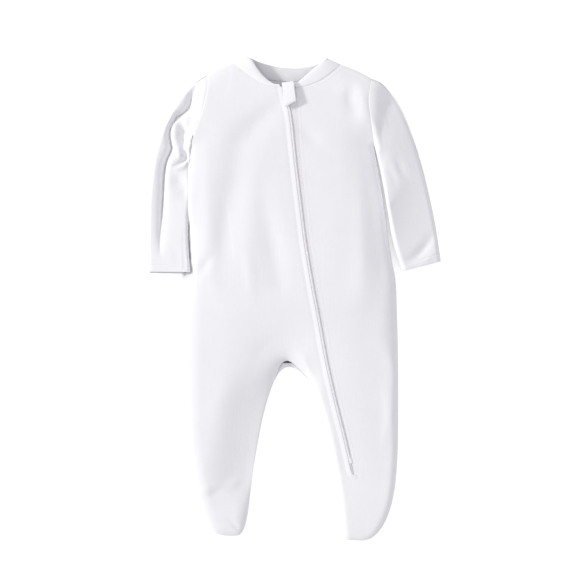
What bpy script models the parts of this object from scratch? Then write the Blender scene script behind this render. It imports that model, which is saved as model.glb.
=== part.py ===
"""A footed baby sleepsuit with a diagonal zip, lying on its back on a flat surface.

Metres in the file, millimetres in the tables. +Z is up, the neck points to +Y and the toes to -Y.
The back lies flat at z = 0, the front lies over it with a little air inside, and the two meet
along the sides at SEAM_Z. The zip runs from the neck down the front to the ankle at +X.
"""

import bpy
import numpy as np
from mathutils import Matrix, Vector

MM = 0.001
NAME = "footed_sleepsuit"

# Cloth and seams
CLOTH = 1.5
BAND_CLOTH = 2.2
SEAM_GAP = 0.3
SEAM_Z = 7.0
LIP = 1.2
CROTCH_RAISE = 3.0
CROTCH_REACH = 26.0

# How the front rises from its edge: part of the rise in the rounded side, and the reach of the rest
SIDE_PART = 0.82
MIDDLE_PART = 0.18
MIDDLE_REACH = 70.0
FOLD_FADE = 9.0

# Widths of the rounded edges of the back and the sleeves, and the height of a sleeve's folds
TURN_BACK = 13.0
SLEEVE_TURN = 13.0
SLEEVE_FOLD_Z = 6.5
SLEEVE_FOLD_FADE = 7.0
SLEEVE_JOIN = 0.2
LAYER_GAP = 0.6

# Levels down the body
UNDERARM_Y = 173.0
CROTCH_X = -8.5
CROTCH_Y = -70.5
BACK_CROTCH_X = -5.5
BACK_CROTCH_Y = -77.5
ZIP_END_Y = -197.0
TOE_LEFT_Y = -270.8
TOE_RIGHT_Y = -276.2

# Zip
LAP_WIDTH = 5.0
LAP_RISE = 1.1
GAP_HALF = 0.9
COIL_WIDTH = 2.0
COIL_HEIGHT = 2.2
TAPE_THICK = 0.8
TAPE_UNDER = 6.0

# How the crown of the body falls off down its length: y, height of the front, width of its rounded side
BODY_CROWN = (
    (262.0, 11.0, 14.0),
    (235.0, 16.0, 18.0),
    (180.0, 22.0, 22.0),
    (90.0, 26.0, 25.0),
    (-10.0, 28.0, 26.0),
    (-80.0, 26.0, 24.0),
    (-140.0, 23.0, 20.0),
    (-210.0, 20.0, 17.0),
    (-250.0, 17.0, 14.0),
    (-276.0, 14.0, 11.0),
)

# Side of the body and leg at -X, from the underarm down: x, y
SIDE_LEFT = (
    (-119.5, 173.0),
    (-120.6, 147.0),
    (-121.0, 113.0),
    (-122.5, 90.0),
    (-125.0, 62.0),
    (-128.5, 31.0),
    (-130.5, -20.0),
    (-130.5, -70.0),
    (-128.3, -115.0),
    (-126.0, -150.0),
    (-120.5, -190.0),
    (-111.0, -228.0),
    (-103.0, -251.0),
    (-93.0, -265.5),
    (-84.5, -270.0),
    (-78.0, -270.8),
)
INSEAM_LEFT = (
    (-8.5, -70.5),
    (-12.5, -71.8),
    (-16.8, -77.5),
    (-22.2, -91.0),
    (-29.0, -110.0),
    (-36.0, -135.0),
    (-43.5, -173.0),
    (-48.5, -205.0),
    (-53.0, -243.0),
    (-57.0, -261.0),
    (-62.0, -269.0),
    (-68.0, -270.8),
)
INSEAM_RIGHT = (
    (-8.5, -70.5),
    (-4.5, -71.8),
    (2.5, -77.5),
    (14.5, -91.0),
    (21.5, -108.0),
    (30.0, -134.0),
    (39.5, -172.0),
    (47.0, -210.0),
    (52.5, -250.0),
    (54.5, -266.5),
    (57.5, -273.5),
    (62.5, -276.2),
)
SIDE_RIGHT = (
    (91.5, 173.0),
    (98.0, 136.0),
    (103.5, 101.0),
    (107.5, 67.0),
    (112.0, 40.0),
    (115.6, 20.0),
    (117.0, -10.0),
    (118.3, -60.0),
    (118.6, -120.0),
    (118.0, -175.0),
    (114.5, -218.0),
    (107.5, -246.0),
    (98.0, -264.0),
    (88.5, -273.0),
    (79.0, -276.2),
)
# The back shows below the front at the crotch: its own arch, down to where both run together
BACK_ARCH_LEFT = (
    (-5.5, -77.5),
    (-11.5, -79.0),
    (-17.5, -84.5),
    (-23.0, -93.5),
)
BACK_ARCH_RIGHT = (
    (-5.5, -77.5),
    (-0.5, -79.0),
    (6.5, -84.0),
    (16.0, -94.0),
)

# Shoulders, from the neck out to the sleeve
SHOULDER_LEFT = ((-71.0, 269.5), (-86.0, 263.5), (-101.0, 255.3))
SHOULDER_RIGHT = ((53.5, 268.0), (71.0, 261.0), (88.3, 251.8))
ARMHOLE_LEFT = ((-101.0, 255.3), (-99.6, 243.0), (-103.7, 220.0), (-112.4, 196.0), (-119.5, 173.0))
ARMHOLE_RIGHT = ((88.3, 251.8), (85.8, 240.0), (84.4, 226.0), (86.6, 205.0), (91.5, 173.0))

# Neck seam of the front, each side from the shoulder to the zip, and of the back
NECK_LEFT = ((-71.0, 269.5), (-54.0, 257.0), (-36.5, 246.0), (-24.0, 242.3), (-15.2, 241.6))
NECK_RIGHT = ((0.8, 240.6), (8.0, 241.2), (17.0, 243.8), (30.0, 249.2), (42.0, 257.6), (53.5, 268.0))
NECK_BACK = ((-71.0, 269.5), (-48.0, 257.0), (-22.0, 250.5), (3.0, 250.0), (29.0, 255.0), (53.5, 268.0))
# Line of the open dark gap of the zip, down the front: x, y
ZIP_LINE = (
    (-14.2, 243.0),
    (-11.5, 226.0),
    (-7.6, 213.0),
    (-4.6, 190.0),
    (-1.0, 155.0),
    (4.0, 113.0),
    (9.7, 67.0),
    (17.3, 21.0),
    (25.8, -24.0),
    (34.2, -69.5),
    (44.5, -115.0),
    (56.0, -160.0),
    (64.5, -197.0),
)
# Width of the slit beside the gap: y, distance from the gap to the folded edge of the right side
SLIT = (
    (243.0, 15.0),
    (226.0, 13.2),
    (213.0, 10.6),
    (190.0, 8.8),
    (110.0, 7.6),
    (20.0, 6.8),
    (-70.0, 5.8),
    (-160.0, 4.8),
    (-197.0, 4.4),
)

# The neckband, a row for each section, from the zip round the back to the zip again: the seam that it
# is sewn to and how far along it (0 to 1), its free edge (x, y, height) and the roll past that edge
NECKBAND = (
    ("front_left", 0.985, -17.0, 244.6, 16.5, -5.0),
    ("front_left", 0.87, -24.5, 246.2, 16.5, -4.6),
    ("front_left", 0.68, -32.0, 250.6, 16.0, -4.0),
    ("front_left", 0.40, -42.0, 261.5, 14.0, -2.8),
    ("front_left", 0.15, -48.5, 271.0, 11.5, -1.8),
    ("back", 0.0, -51.2, 275.8, 8.4, -0.4),
    ("back", 0.11, -44.0, 272.9, 5.4, 1.0),
    ("back", 0.25, -32.0, 268.4, 4.8, 1.4),
    ("back", 0.42, -14.0, 265.2, 5.0, 1.6),
    ("back", 0.58, 4.0, 264.8, 5.4, 1.6),
    ("back", 0.75, 20.5, 267.6, 5.6, 1.4),
    ("back", 0.89, 30.5, 272.0, 6.2, 1.0),
    ("back", 1.0, 37.0, 277.2, 9.0, -0.4),
    ("front_right", 0.86, 33.0, 273.0, 12.0, -1.8),
    ("front_right", 0.55, 21.5, 263.0, 14.8, -2.8),
    ("front_right", 0.28, 9.5, 252.8, 16.4, -4.0),
    ("front_right", 0.12, 4.5, 248.0, 16.6, -4.6),
    ("front_right", 0.01, 1.0, 245.2, 16.5, -5.0),
)

# Sleeves: fold lines and cuffs, from the shoulder and the underarm down: x, y
OUTER_LEFT = (
    (-101.0, 255.3),
    (-110.0, 250.0),
    (-123.5, 238.5),
    (-137.0, 220.0),
    (-149.0, 197.0),
    (-159.0, 170.0),
    (-164.5, 138.0),
    (-167.2, 105.0),
    (-168.0, 70.0),
    (-167.5, 31.0),
)
INNER_LEFT = (
    (-119.5, 173.0),
    (-121.8, 147.0),
    (-122.2, 113.0),
    (-121.6, 88.0),
    (-120.6, 60.0),
    (-118.6, 30.5),
)
OUTER_RIGHT = (
    (88.3, 251.8),
    (100.0, 246.3),
    (112.0, 233.5),
    (124.0, 214.5),
    (136.0, 184.5),
    (146.0, 152.5),
    (154.5, 118.0),
    (161.5, 84.0),
    (167.8, 43.0),
)
INNER_RIGHT = ((91.5, 173.0), (99.8, 136.0), (105.8, 101.0), (110.2, 74.0), (114.4, 56.0), (118.4, 44.0), (122.4, 31.5))
# Height of a sleeve above what it lies on, along it: part of its length, height
SLEEVE_CROWN = ((0.0, 20.0), (0.2, 20.0), (0.5, 18.0), (0.8, 16.0), (1.0, 13.5))

# The largest soft folds: where each starts and ends, its width and how far it dips (or stands, if positive)
BODY_FOLDS = (
    # x1, y1, x2, y2, width, rise
    (-28.0, 214.0, -62.0, 170.0, 16.0, -2.5),
    (-52.0, 165.0, -76.0, 70.0, 20.0, -2.6),
    (-34.0, 110.0, -16.0, 20.0, 16.0, -1.8),
    (-98.0, 160.0, -92.0, 30.0, 18.0, 1.6),
    (-52.0, 60.0, -48.0, 0.0, 14.0, 1.4),
    (64.0, 236.0, 66.0, 200.0, 14.0, -1.8),
    (78.0, 236.0, 80.0, 205.0, 10.0, 1.5),
    (4.0, 196.0, 30.0, 172.0, 14.0, -1.4),
    (-96.0, 50.0, -112.0, 22.0, 10.0, -1.8),
    (-36.0, -62.0, -20.0, -50.0, 18.0, -2.4),
    (-112.0, -218.0, -88.0, -214.0, 9.0, 1.6),
    (-76.0, -218.0, -62.0, -204.0, 9.0, 1.4),
)
LEFT_SLEEVE_FOLDS = (
    (-112.0, 238.0, -126.0, 210.0, 9.0, -8.0),
    (-126.0, 210.0, -143.0, 180.0, 10.0, -9.5),
    (-143.0, 180.0, -150.0, 150.0, 11.0, -10.0),
    (-150.0, 150.0, -153.5, 110.0, 11.0, -9.5),
    (-153.5, 110.0, -154.5, 72.0, 10.0, -5.5),
    (-131.0, 196.0, -139.0, 178.0, 6.0, 2.8),
    (-128.0, 184.0, -126.5, 168.0, 7.5, -6.0),
    (-138.0, 160.0, -121.0, 152.0, 6.0, 2.6),
    (-130.0, 156.0, -120.0, 164.0, 5.5, -4.0),
    (-132.0, 134.0, -124.0, 118.0, 10.0, -2.4),
)
RIGHT_SLEEVE_FOLDS = (
    (91.0, 222.0, 104.0, 150.0, 9.0, 1.6),
    (118.0, 185.0, 122.0, 140.0, 16.0, -1.8),
    (156.0, 68.0, 136.0, 44.0, 9.0, -3.0),
    (98.0, 240.0, 110.0, 222.0, 8.0, -1.8),
)
# Where the cuff at -X lies on the side of the body, the body is pressed down and the sleeve is lifted
PRESSED_SIDE = (-118.0, 104.0, -121.0, 14.0, 22.0, -9.0)
LIFT_REACH = 22.0
LIFT_CLEAR = 1.2
LIFT_INSET = 3.0
LIFT_TOP_Y = 150.0
LIFT_LENGTH = 45.0

# Rows and columns of the panels, and the part of a panel's width or length that its turned edge takes
TURN_STEPS = 3
YOKE_TURN = 0.3
LEFT_TURN = 0.21
INNER_TURN = 0.6
RIGHT_TURN = 0.34
BACK_TURN = 0.16
SLEEVE_TURN_PART = 0.26
YOKE_ROWS = 6
TORSO_ROWS = 7
CROTCH_ROWS_REACH = 20.0
ARCH_STEPS = (0.0, 1.3, 4.5, 10.0, 18.0)
SHIN_ROWS = 6
FOOT_ROWS = 3
TOE_REACH = 20.0
LEFT_FILL = 4
INNER_FILL = 3
RIGHT_FILL = 5
BACK_FILL = 3
SLEEVE_FILL = 5
SLEEVE_ROWS = 15
SLEEVE_GAP = 0.6
BAND_GAP = 0.55
BAND_FOLD_GAP = 2.8

# Zip hardware and guard
TAPE_INSET = 1.0
ZIP_NECK_DROP = 1.2
CHAIN_DROP = 0.7
TAPE_DROP = 2.1
CHAIN_END_Y = -178.5
TAPE_END_Y = -201.0
STOP_Y = -183.5
STOP_SIZE = (3.2, 7.5, 1.8)
SLIDER_Y = 229.0
SLIDER_SIZE = (4.4, 8.0, 3.4)
SLIDER_SHIFT = 0.7
SLIDER_RAISE = 0.8
PULL_SIZE = (3.4, 7.0, 0.9)
PULL_RAISE = 1.9
PULL_OVERLAP = 1.5
GUARD_CLOTH = 1.2
GUARD_CROWN = 0.3
GUARD_LEFT = ((-13.3, 245.6), (-10.3, 217.7))
GUARD_RIGHT = ((-1.2, 247.4), (1.8, 224.4))
# Side view of the guard: share of its length from the neck, height
GUARD_PROFILE = (
    (0.03, 13.0),
    (-0.02, 15.0),
    (-0.02, 17.2),
    (0.03, 18.9),
    (0.15, 20.6),
    (0.40, 22.8),
    (0.70, 24.2),
    (0.93, 24.9),
    (1.00, 23.9),
    (0.98, 22.4),
    (0.90, 21.7),
    (0.60, 21.3),
)

WHITE_COTTON = (0.88, 0.88, 0.90, 1.0)
WHITE_TAPE = (0.80, 0.80, 0.82, 1.0)
WHITE_NYLON = (0.90, 0.90, 0.91, 1.0)


def smooth_line(points, steps=12):
    """A dense line through the points, by Catmull-Rom spans."""
    points = np.array(points, float)
    ends = np.vstack([2 * points[0] - points[1], points, 2 * points[-1] - points[-2]])
    spans = []
    for i in range(len(points) - 1):
        a, b, c, d = ends[i : i + 4]
        t = np.linspace(0, 1, steps, endpoint=False)[:, None]
        spans.append(
            0.5 * (2 * b + (c - a) * t + (2 * a - 5 * b + 4 * c - d) * t**2 + (3 * b - a - 3 * c + d) * t**3)
        )
    return np.vstack(spans + [points[-1:]])


def along(line, shares):
    """Points at the given shares of a line's length."""
    reach = np.concatenate([[0], np.cumsum(np.linalg.norm(np.diff(line, axis=0), axis=1))])
    at = np.asarray(shares) * reach[-1]
    return np.stack([np.interp(at, reach, line[:, k]) for k in range(line.shape[1])], axis=1)


def x_at(line, y):
    """Where a line that runs down the body crosses the level y."""
    order = np.argsort(line[:, 1])
    return np.interp(y, line[order, 1], line[order, 0])


def distance(points, line):
    """How far each point is from a line, in plan."""
    best = np.full(points.shape[:-1], np.inf)
    for a, b in zip(line[:-1], line[1:]):
        run = b - a
        share = np.clip(((points - a) @ run) / max(run @ run, 1e-9), 0, 1)
        best = np.minimum(best, np.linalg.norm(points - a - share[..., None] * run, axis=-1))
    return best


def quarter(share):
    """A quarter round: 0 at the edge, upright there, and 1 from share 1 on."""
    return np.sqrt(1 - (1 - np.clip(share, 0, 1)) ** 2)


def soft_step(share):
    share = np.clip(share, 0, 1)
    return share * share * (3 - 2 * share)


def folds_at(points, folds):
    """The rise of all soft folds at each point."""
    rise = np.zeros(points.shape[:-1])
    for x1, y1, x2, y2, width, height in folds:
        away = distance(points, np.array([(x1, y1), (x2, y2)]))
        rise += height * np.exp(-((away / (0.6 * width)) ** 2))
    return rise


armhole_left = smooth_line(ARMHOLE_LEFT)
armhole_right = smooth_line(ARMHOLE_RIGHT)
side_left = smooth_line(SIDE_LEFT)
side_right = smooth_line(SIDE_RIGHT)
edge_left = np.vstack([armhole_left, side_left[1:]])
edge_right = np.vstack([armhole_right, side_right[1:]])
inseam_left = smooth_line(INSEAM_LEFT)
inseam_right = smooth_line(INSEAM_RIGHT)
shoulder_left = smooth_line(SHOULDER_LEFT)
shoulder_right = smooth_line(SHOULDER_RIGHT)
zip_line = smooth_line(ZIP_LINE)
neck_left = smooth_line(NECK_LEFT)
neck_right = smooth_line(NECK_RIGHT)
neck_back = smooth_line(NECK_BACK)
centre_line = smooth_line(((-36.5, 246.0), (-30.0, 173.0), (-16.0, 40.0), (CROTCH_X, CROTCH_Y)))
toe_left = np.array([SIDE_LEFT[-1], INSEAM_LEFT[-1]])
toe_right = np.array([SIDE_RIGHT[-1], INSEAM_RIGHT[-1]])


def from_arch(arch, inseam):
    """The back's inseam: its own arch at the crotch, then the shared line down the leg."""
    arch = smooth_line(arch)
    return np.vstack([arch, inseam[inseam[:, 1] < arch[-1, 1] - 4]])


back_inseam_left = from_arch(BACK_ARCH_LEFT, inseam_left)
back_inseam_right = from_arch(BACK_ARCH_RIGHT, inseam_right)
OUTSIDE_EDGES = (side_left, toe_left, toe_right, side_right, shoulder_left, shoulder_right)
FRONT_EDGES = OUTSIDE_EDGES + (inseam_left, inseam_right)
BACK_EDGES = OUTSIDE_EDGES + (back_inseam_left, back_inseam_right)


def nearest_edge(points, edges):
    return np.min([distance(points, edge) for edge in edges], axis=0)


def onto(line, point):
    """The point of a line that is nearest to a point, and how far away it is."""
    best, place = np.inf, point
    for a, b in zip(line[:-1], line[1:]):
        run = b - a
        share = np.clip((point - a) @ run / max(run @ run, 1e-9), 0, 1)
        away = np.linalg.norm(point - a - share * run)
        if away < best:
            best, place = away, a + share * run
    return place, best


def crotch_raise(points):
    """The seam climbs onto the top of the suit round the crotch."""
    away = np.linalg.norm(points - (CROTCH_X, CROTCH_Y), axis=-1)
    return CROTCH_RAISE * soft_step(1 - away / CROTCH_REACH)


def front_height(points):
    """Height of the front's outer face over a place in plan."""
    y = points[..., 1]
    table = np.array(BODY_CROWN)[::-1]
    crown = np.interp(y, table[:, 0], table[:, 1])
    turn = np.interp(y, table[:, 0], table[:, 2])
    away = nearest_edge(points, FRONT_EDGES)
    start = SEAM_Z + LIP + crotch_raise(points)
    body = SIDE_PART * quarter(away / turn) + MIDDLE_PART * soft_step(away / MIDDLE_REACH)
    folds = folds_at(points, BODY_FOLDS + (PRESSED_SIDE,)) * soft_step(away / FOLD_FADE)
    return start + (crown - start) * body + folds


def back_height(points):
    """Height of the back's outer face, the underside: flat at 0 and rounded up at its edges."""
    return (SEAM_Z - LIP) * (1 - quarter(nearest_edge(points, BACK_EDGES) / TURN_BACK))


def turned_shares(reach, fill, start=True, end=False):
    """Shares across a panel, close together where its edge turns under."""
    step = reach * (1 - np.cos(np.linspace(0, np.pi / 2, TURN_STEPS + 1)))
    first = step if start else np.array([0.0])
    last = 1 - step[::-1] if end else np.array([1.0])
    middle = np.linspace(first[-1], last[0], fill + 1)[1:-1]
    return np.concatenate([first, middle, last])


def coons(top, bottom, left, right, across, down):
    """A grid between four lines: rows run down from top to bottom, columns across from left to right."""
    u = across[None, :, None]
    v = down[:, None, None]
    upper = (1 - u) * top[0] + u * top[-1]
    lower = (1 - u) * bottom[0] + u * bottom[-1]
    corners = (1 - v) * upper + v * lower
    return (1 - v) * top[None] + v * bottom[None] + (1 - u) * left[:, None] + u * right[:, None] - corners


def strip(column_x, columns, top, levels):
    """Grid of a strip of a panel: column_x(number, y) places each column, and each starts at the top line."""
    rows = []
    order = np.argsort(top[:, 0])
    for number in range(columns):
        y = top[:, 1].mean()
        for _ in range(40):
            y = 0.5 * (y + np.interp(column_x(number, y), top[order, 0], top[order, 1]))
        ys = np.concatenate([y + (UNDERARM_Y - y) * yoke_shares, levels[1:]])
        rows.append(np.stack([column_x(number, ys), ys], axis=1))
    return np.stack(rows, axis=1)


class Sheet:
    """An open sheet of quads gathered from grids of points, welded where the grids meet."""

    def __init__(self):
        self.points, self.faces, self.index = [], [], {}

    def vertex(self, point):
        key = tuple(np.round(point, 3))
        if key not in self.index:
            self.index[key] = len(self.points)
            self.points.append(np.array(point, float))
        return self.index[key]

    def add(self, grid):
        rows, columns = grid.shape[:2]
        number = [[self.vertex(grid[r, c]) for c in range(columns)] for r in range(rows)]
        for r in range(rows - 1):
            for c in range(columns - 1):
                corners = (number[r][c], number[r + 1][c], number[r + 1][c + 1], number[r][c + 1])
                face = tuple(dict.fromkeys(corners))
                if len(face) > 2:
                    self.faces.append(face)
        return self

    def rim(self):
        """The edges that only one face uses, each in that face's own direction."""
        used = {(a, b) for face in self.faces for a, b in zip(face, face[1:] + face[:1])}
        return [(a, b) for a, b in used if (b, a) not in used]

    def lip(self, edges, sewn_to, level):
        """Carries the sheet on from the given edge lines to the seam, on another line at a level."""
        plan = np.array(self.points)[:, :2]
        on_edge = nearest_edge(plan, edges) < 0.02
        made = {}
        for a, b in self.rim():
            if on_edge[a] and on_edge[b]:
                for i in (a, b):
                    if i not in made:
                        place = min((onto(line, plan[i]) for line in sewn_to), key=lambda found: found[1])[0]
                        made[i] = self.vertex((*place, level + crotch_raise(place)))
                self.faces.append((b, a, made[a], made[b]))
        return set(made) | set(made.values())


def wall(sheet, thickness, level=frozenset()):
    """The sheet with its thickness added inward. A cut edge stands square to its seam, and at the points in
    level it lies level, so that the pieces on the two sides of a seam stay parallel."""
    points = np.array(sheet.points)
    normals = np.zeros_like(points)
    for face in sheet.faces:
        corners = points[list(face)]
        across = np.cross(corners[2] - corners[0], corners[-1] - corners[1])
        for i in face:
            normals[i] += across / max(np.linalg.norm(across), 1e-9) ** 0.5
    rim = sheet.rim()
    run = np.zeros((len(points), 2))
    for a, b in rim:
        step = points[b, :2] - points[a, :2]
        run[[a, b]] += step / max(np.linalg.norm(step), 1e-9)
    for i in sorted({i for edge in rim for i in edge}):
        if i in level:
            normals[i, 2] = 0
        elif np.linalg.norm(run[i]) > 0.1:
            side = np.array([-run[i, 1], run[i, 0], 0]) / np.linalg.norm(run[i])
            normals[i] -= (normals[i] @ side) * side
    normals /= np.linalg.norm(normals, axis=1)[:, None]
    count = len(points)
    faces = list(sheet.faces)
    faces += [tuple(i + count for i in face[::-1]) for face in sheet.faces]
    faces += [(b, a, a + count, b + count) for a, b in rim]
    return np.vstack([points, points - thickness * normals]), faces


def material(name, colour, roughness, metallic=0.0):
    made = bpy.data.materials.get(name)
    if made is None:
        made = bpy.data.materials.new(name)
        made.use_nodes = True
        shader = made.node_tree.nodes["Principled BSDF"]
        shader.inputs["Base Color"].default_value = colour
        shader.inputs["Roughness"].default_value = roughness
        shader.inputs["Metallic"].default_value = metallic
    return made


def node(name, shape, surface):
    """A named object of the suit, from points in millimetres and faces."""
    points, faces = shape
    mesh = bpy.data.meshes.new(name)
    mesh.from_pydata([tuple(p) for p in np.asarray(points) * MM], [], faces)
    mesh.validate()
    mesh.shade_smooth()
    mesh.materials.append(surface)
    made = bpy.data.objects.new(name, mesh)
    bpy.data.collections[NAME].objects.link(made)
    return made


def raised(grid, height):
    return np.concatenate([grid, height(grid)[..., None]], axis=-1)


def slit_edges(y):
    """The folded edges of the slit, left and right of the zip's gap."""
    table = np.array(SLIT)[::-1]
    gap = x_at(zip_line, y)
    return gap - GAP_HALF, gap + np.interp(y, table[:, 0], table[:, 1])


yoke_shares = turned_shares(YOKE_TURN, YOKE_ROWS - TURN_STEPS)


def torso_levels(crotch_y):
    """Rows from the underarm to the crotch, closer together just above it."""
    near = CROTCH_ROWS_REACH * (1 - np.cos(np.linspace(0, np.pi / 2, TURN_STEPS + 1)))
    plain = np.linspace(UNDERARM_Y, crotch_y + near[-1], TORSO_ROWS)
    return np.concatenate([plain[:-1], crotch_y + near[::-1]])


def leg_levels(crotch_y, zip_end, toe):
    """Rows down a leg, closer together below the crotch and at the toe."""
    arch = crotch_y - np.array(ARCH_STEPS)
    shin = np.linspace(arch[-1], zip_end, SHIN_ROWS)[1:]
    foot = np.linspace(zip_end, toe + TOE_REACH, FOOT_ROWS)[1:]
    end = toe + TOE_REACH * (1 - np.sin(np.linspace(0, np.pi / 2, TURN_STEPS + 1)))[1:]
    return np.concatenate([arch, shin, foot, end])


def between(left, right, shares):
    """Columns at fixed shares of the way between two lines."""
    return lambda number, y: x_at(left, y) + (x_at(right, y) - x_at(left, y)) * shares[number]


def front():
    sheet = Sheet()
    torso = torso_levels(CROTCH_Y)
    left_levels = np.concatenate([torso, leg_levels(CROTCH_Y, ZIP_END_Y, TOE_LEFT_Y)[1:]])
    right_leg = leg_levels(CROTCH_Y, ZIP_END_Y, TOE_RIGHT_Y)
    shin_end = SHIN_ROWS + len(ARCH_STEPS) - 1
    zip_levels = np.concatenate([torso, right_leg[1:shin_end]])

    neck_share = (NECK_LEFT[0][0] - ARMHOLE_LEFT[0][0]) / (centre_line[0, 0] - ARMHOLE_LEFT[0][0])
    shares = turned_shares(LEFT_TURN, LEFT_FILL, end=True)
    shares[np.argmin(abs(shares - neck_share))] = neck_share
    top = np.vstack([shoulder_left[::-1], neck_left])
    middle = np.vstack([centre_line, inseam_left[1:]])
    left_strip = strip(between(edge_left, middle, shares), len(shares), top, left_levels)
    sheet.add(raised(left_strip, front_height))

    inner = np.vstack([centre_line, inseam_right[1:]])
    inner_shares = turned_shares(INNER_TURN, INNER_FILL)
    lap = np.array([-LAP_WIDTH + 0.5, -0.5, 0.0])

    def inner_x(number, y):
        start, end = x_at(inner, y), slit_edges(y)[0]
        if number < len(inner_shares):
            return start + (end - LAP_WIDTH - 0.5 - start) * inner_shares[number]
        return end + lap[number - len(inner_shares)]

    inner_grid = raised(strip(inner_x, len(inner_shares) + len(lap), neck_left, zip_levels), front_height)
    inner_grid[:, -3:-1, 2] += LAP_RISE
    inner_grid[:, -1, 2] += 0.5 * LAP_RISE
    sheet.add(inner_grid)

    top = np.vstack([neck_right, shoulder_right])
    first, last = slit_edges(NECK_RIGHT[-1][1])[1], ARMHOLE_RIGHT[0][0]
    right_shares = 1 - turned_shares(RIGHT_TURN, RIGHT_FILL)[::-1]
    neck_share = (NECK_RIGHT[-1][0] - first) / (last - first)
    right_shares[np.argmin(abs(right_shares - neck_share))] = neck_share

    def outer_x(number, y):
        start, end = slit_edges(y)[1], x_at(edge_right, y)
        return start + (end - start) * right_shares[number]

    outer_grid = raised(strip(outer_x, len(right_shares), top, zip_levels), front_height)
    sheet.add(outer_grid)

    end_row = np.concatenate([inner_grid[-1, :, 0], outer_grid[-1, :, 0]])
    foot_shares = (end_row - end_row[0]) / (end_row[-1] - end_row[0])
    levels = right_leg[shin_end - 1 :, None]
    start, end = x_at(inseam_right, levels), x_at(edge_right, levels)
    foot_x = start + (end - start) * foot_shares
    foot = raised(np.stack([foot_x, np.broadcast_to(levels, foot_x.shape)], axis=-1), front_height)
    foot[0, : inner_grid.shape[1]] = inner_grid[-1]
    foot[0, inner_grid.shape[1] :] = outer_grid[-1]
    sheet.add(foot)

    level = sheet.lip(FRONT_EDGES, FRONT_EDGES, SEAM_Z + 0.5 * SEAM_GAP)
    return wall(sheet, CLOTH, level)


def back():
    sheet = Sheet()
    torso = torso_levels(BACK_CROTCH_Y)
    middle = smooth_line(((-10.0, 250.3), (-10.0, 173.0), (-8.0, 40.0), (BACK_CROTCH_X, BACK_CROTCH_Y)))
    top = np.vstack([shoulder_left[::-1], neck_back[1:], shoulder_right[1:]])
    for edge, inseam, toe, corner in (
        (edge_left, back_inseam_left, TOE_LEFT_Y, NECK_BACK[0][0]),
        (edge_right, back_inseam_right, TOE_RIGHT_Y, NECK_BACK[-1][0]),
    ):
        levels = np.concatenate([torso, leg_levels(BACK_CROTCH_Y, ZIP_END_Y, toe)[1:]])
        centre = np.vstack([middle, inseam[1:]])
        shares = turned_shares(BACK_TURN, BACK_FILL, end=True)
        if edge is edge_left:
            first, last, lines = edge[0, 0], centre[0, 0], (edge, centre)
        else:
            first, last, lines = centre[0, 0], edge[0, 0], (centre, edge)
        neck_share = (corner - first) / (last - first)
        shares[np.argmin(abs(shares - neck_share))] = neck_share
        sheet.add(raised(strip(between(*lines, shares), len(shares), top, levels), back_height)[:, ::-1])
    level = sheet.lip(BACK_EDGES, FRONT_EDGES, SEAM_Z - 0.5 * SEAM_GAP)
    return wall(sheet, CLOTH, level)


def side_lift(points):
    """How far the sleeve at -X is carried up by the side of the body that it lies on."""
    side_x = x_at(side_left, points[..., 1])
    inside = points[..., 0] - side_x
    held = np.stack([np.maximum(points[..., 0], side_x) + LIFT_INSET, points[..., 1]], axis=-1)
    beside = soft_step(1 + np.minimum(inside, 0) / LIFT_REACH)
    below = soft_step((LIFT_TOP_Y - points[..., 1]) / LIFT_LENGTH)
    return (front_height(held) + LIFT_CLEAR) * beside * below


def sleeve(outer, inner, armhole, at_left):
    """A tube laid flat: the upper and the lower layer meet at the outer and the inner fold."""
    out = smooth_line(outer)
    inn = smooth_line(inner)
    hole = smooth_line(armhole)
    shift = -SLEEVE_GAP if at_left else SLEEVE_GAP
    hole = hole + (shift, 0)
    out = out + (shift, 0)
    across = turned_shares(SLEEVE_TURN_PART, SLEEVE_FILL, end=True)
    down = np.linspace(0, 1, SLEEVE_ROWS) ** 1.1
    table = np.array(SLEEVE_CROWN)
    if not at_left:
        hole = hole[::-1]
    first, last = (out, inn) if at_left else (inn, out)
    cuff = np.array([first[-1], last[-1]])
    first = along(first, down) + np.outer(1 - down, hole[0] - first[0])
    last = along(last, down) + np.outer(1 - down, hole[-1] - last[0])
    plan = coons(along(hole, across), along(cuff, across), first, last, across, down)
    away = nearest_edge(plan, (first, last))
    crown = np.interp(down, table[:, 0], table[:, 1])[:, None]
    folds = folds_at(plan, LEFT_SLEEVE_FOLDS if at_left else RIGHT_SLEEVE_FOLDS)
    folds = folds * soft_step(away / SLEEVE_FOLD_FADE)
    top = SLEEVE_FOLD_Z + (crown - SLEEVE_FOLD_Z) * quarter(away / SLEEVE_TURN) + folds
    low = SLEEVE_FOLD_Z * (1 - quarter(away / TURN_BACK))
    if at_left:
        lift = side_lift(plan)
        top, low = top + lift, low + lift
    body_top = SEAM_Z + (front_height(plan[0]) - SEAM_Z) * soft_step(away[0] / 1.5)
    body_low = SEAM_Z + (back_height(plan[0]) - SEAM_Z) * soft_step(away[0] / 1.5)
    joined = soft_step(down / SLEEVE_JOIN)[:, None]
    top = body_top + (top - body_top) * joined
    low = body_low + (low - body_low) * joined
    low = np.maximum(low, 0)
    top = np.maximum(top, low + 2 * CLOTH + LAYER_GAP)
    fold = [0, -1]
    top[:, fold] = low[:, fold] = 0.5 * (top[:, fold] + low[:, fold])
    ring = np.concatenate([np.dstack([plan, top]), np.dstack([plan, low])[:, -2::-1]], axis=1)
    return wall(Sheet().add(ring), CLOTH)


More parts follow.
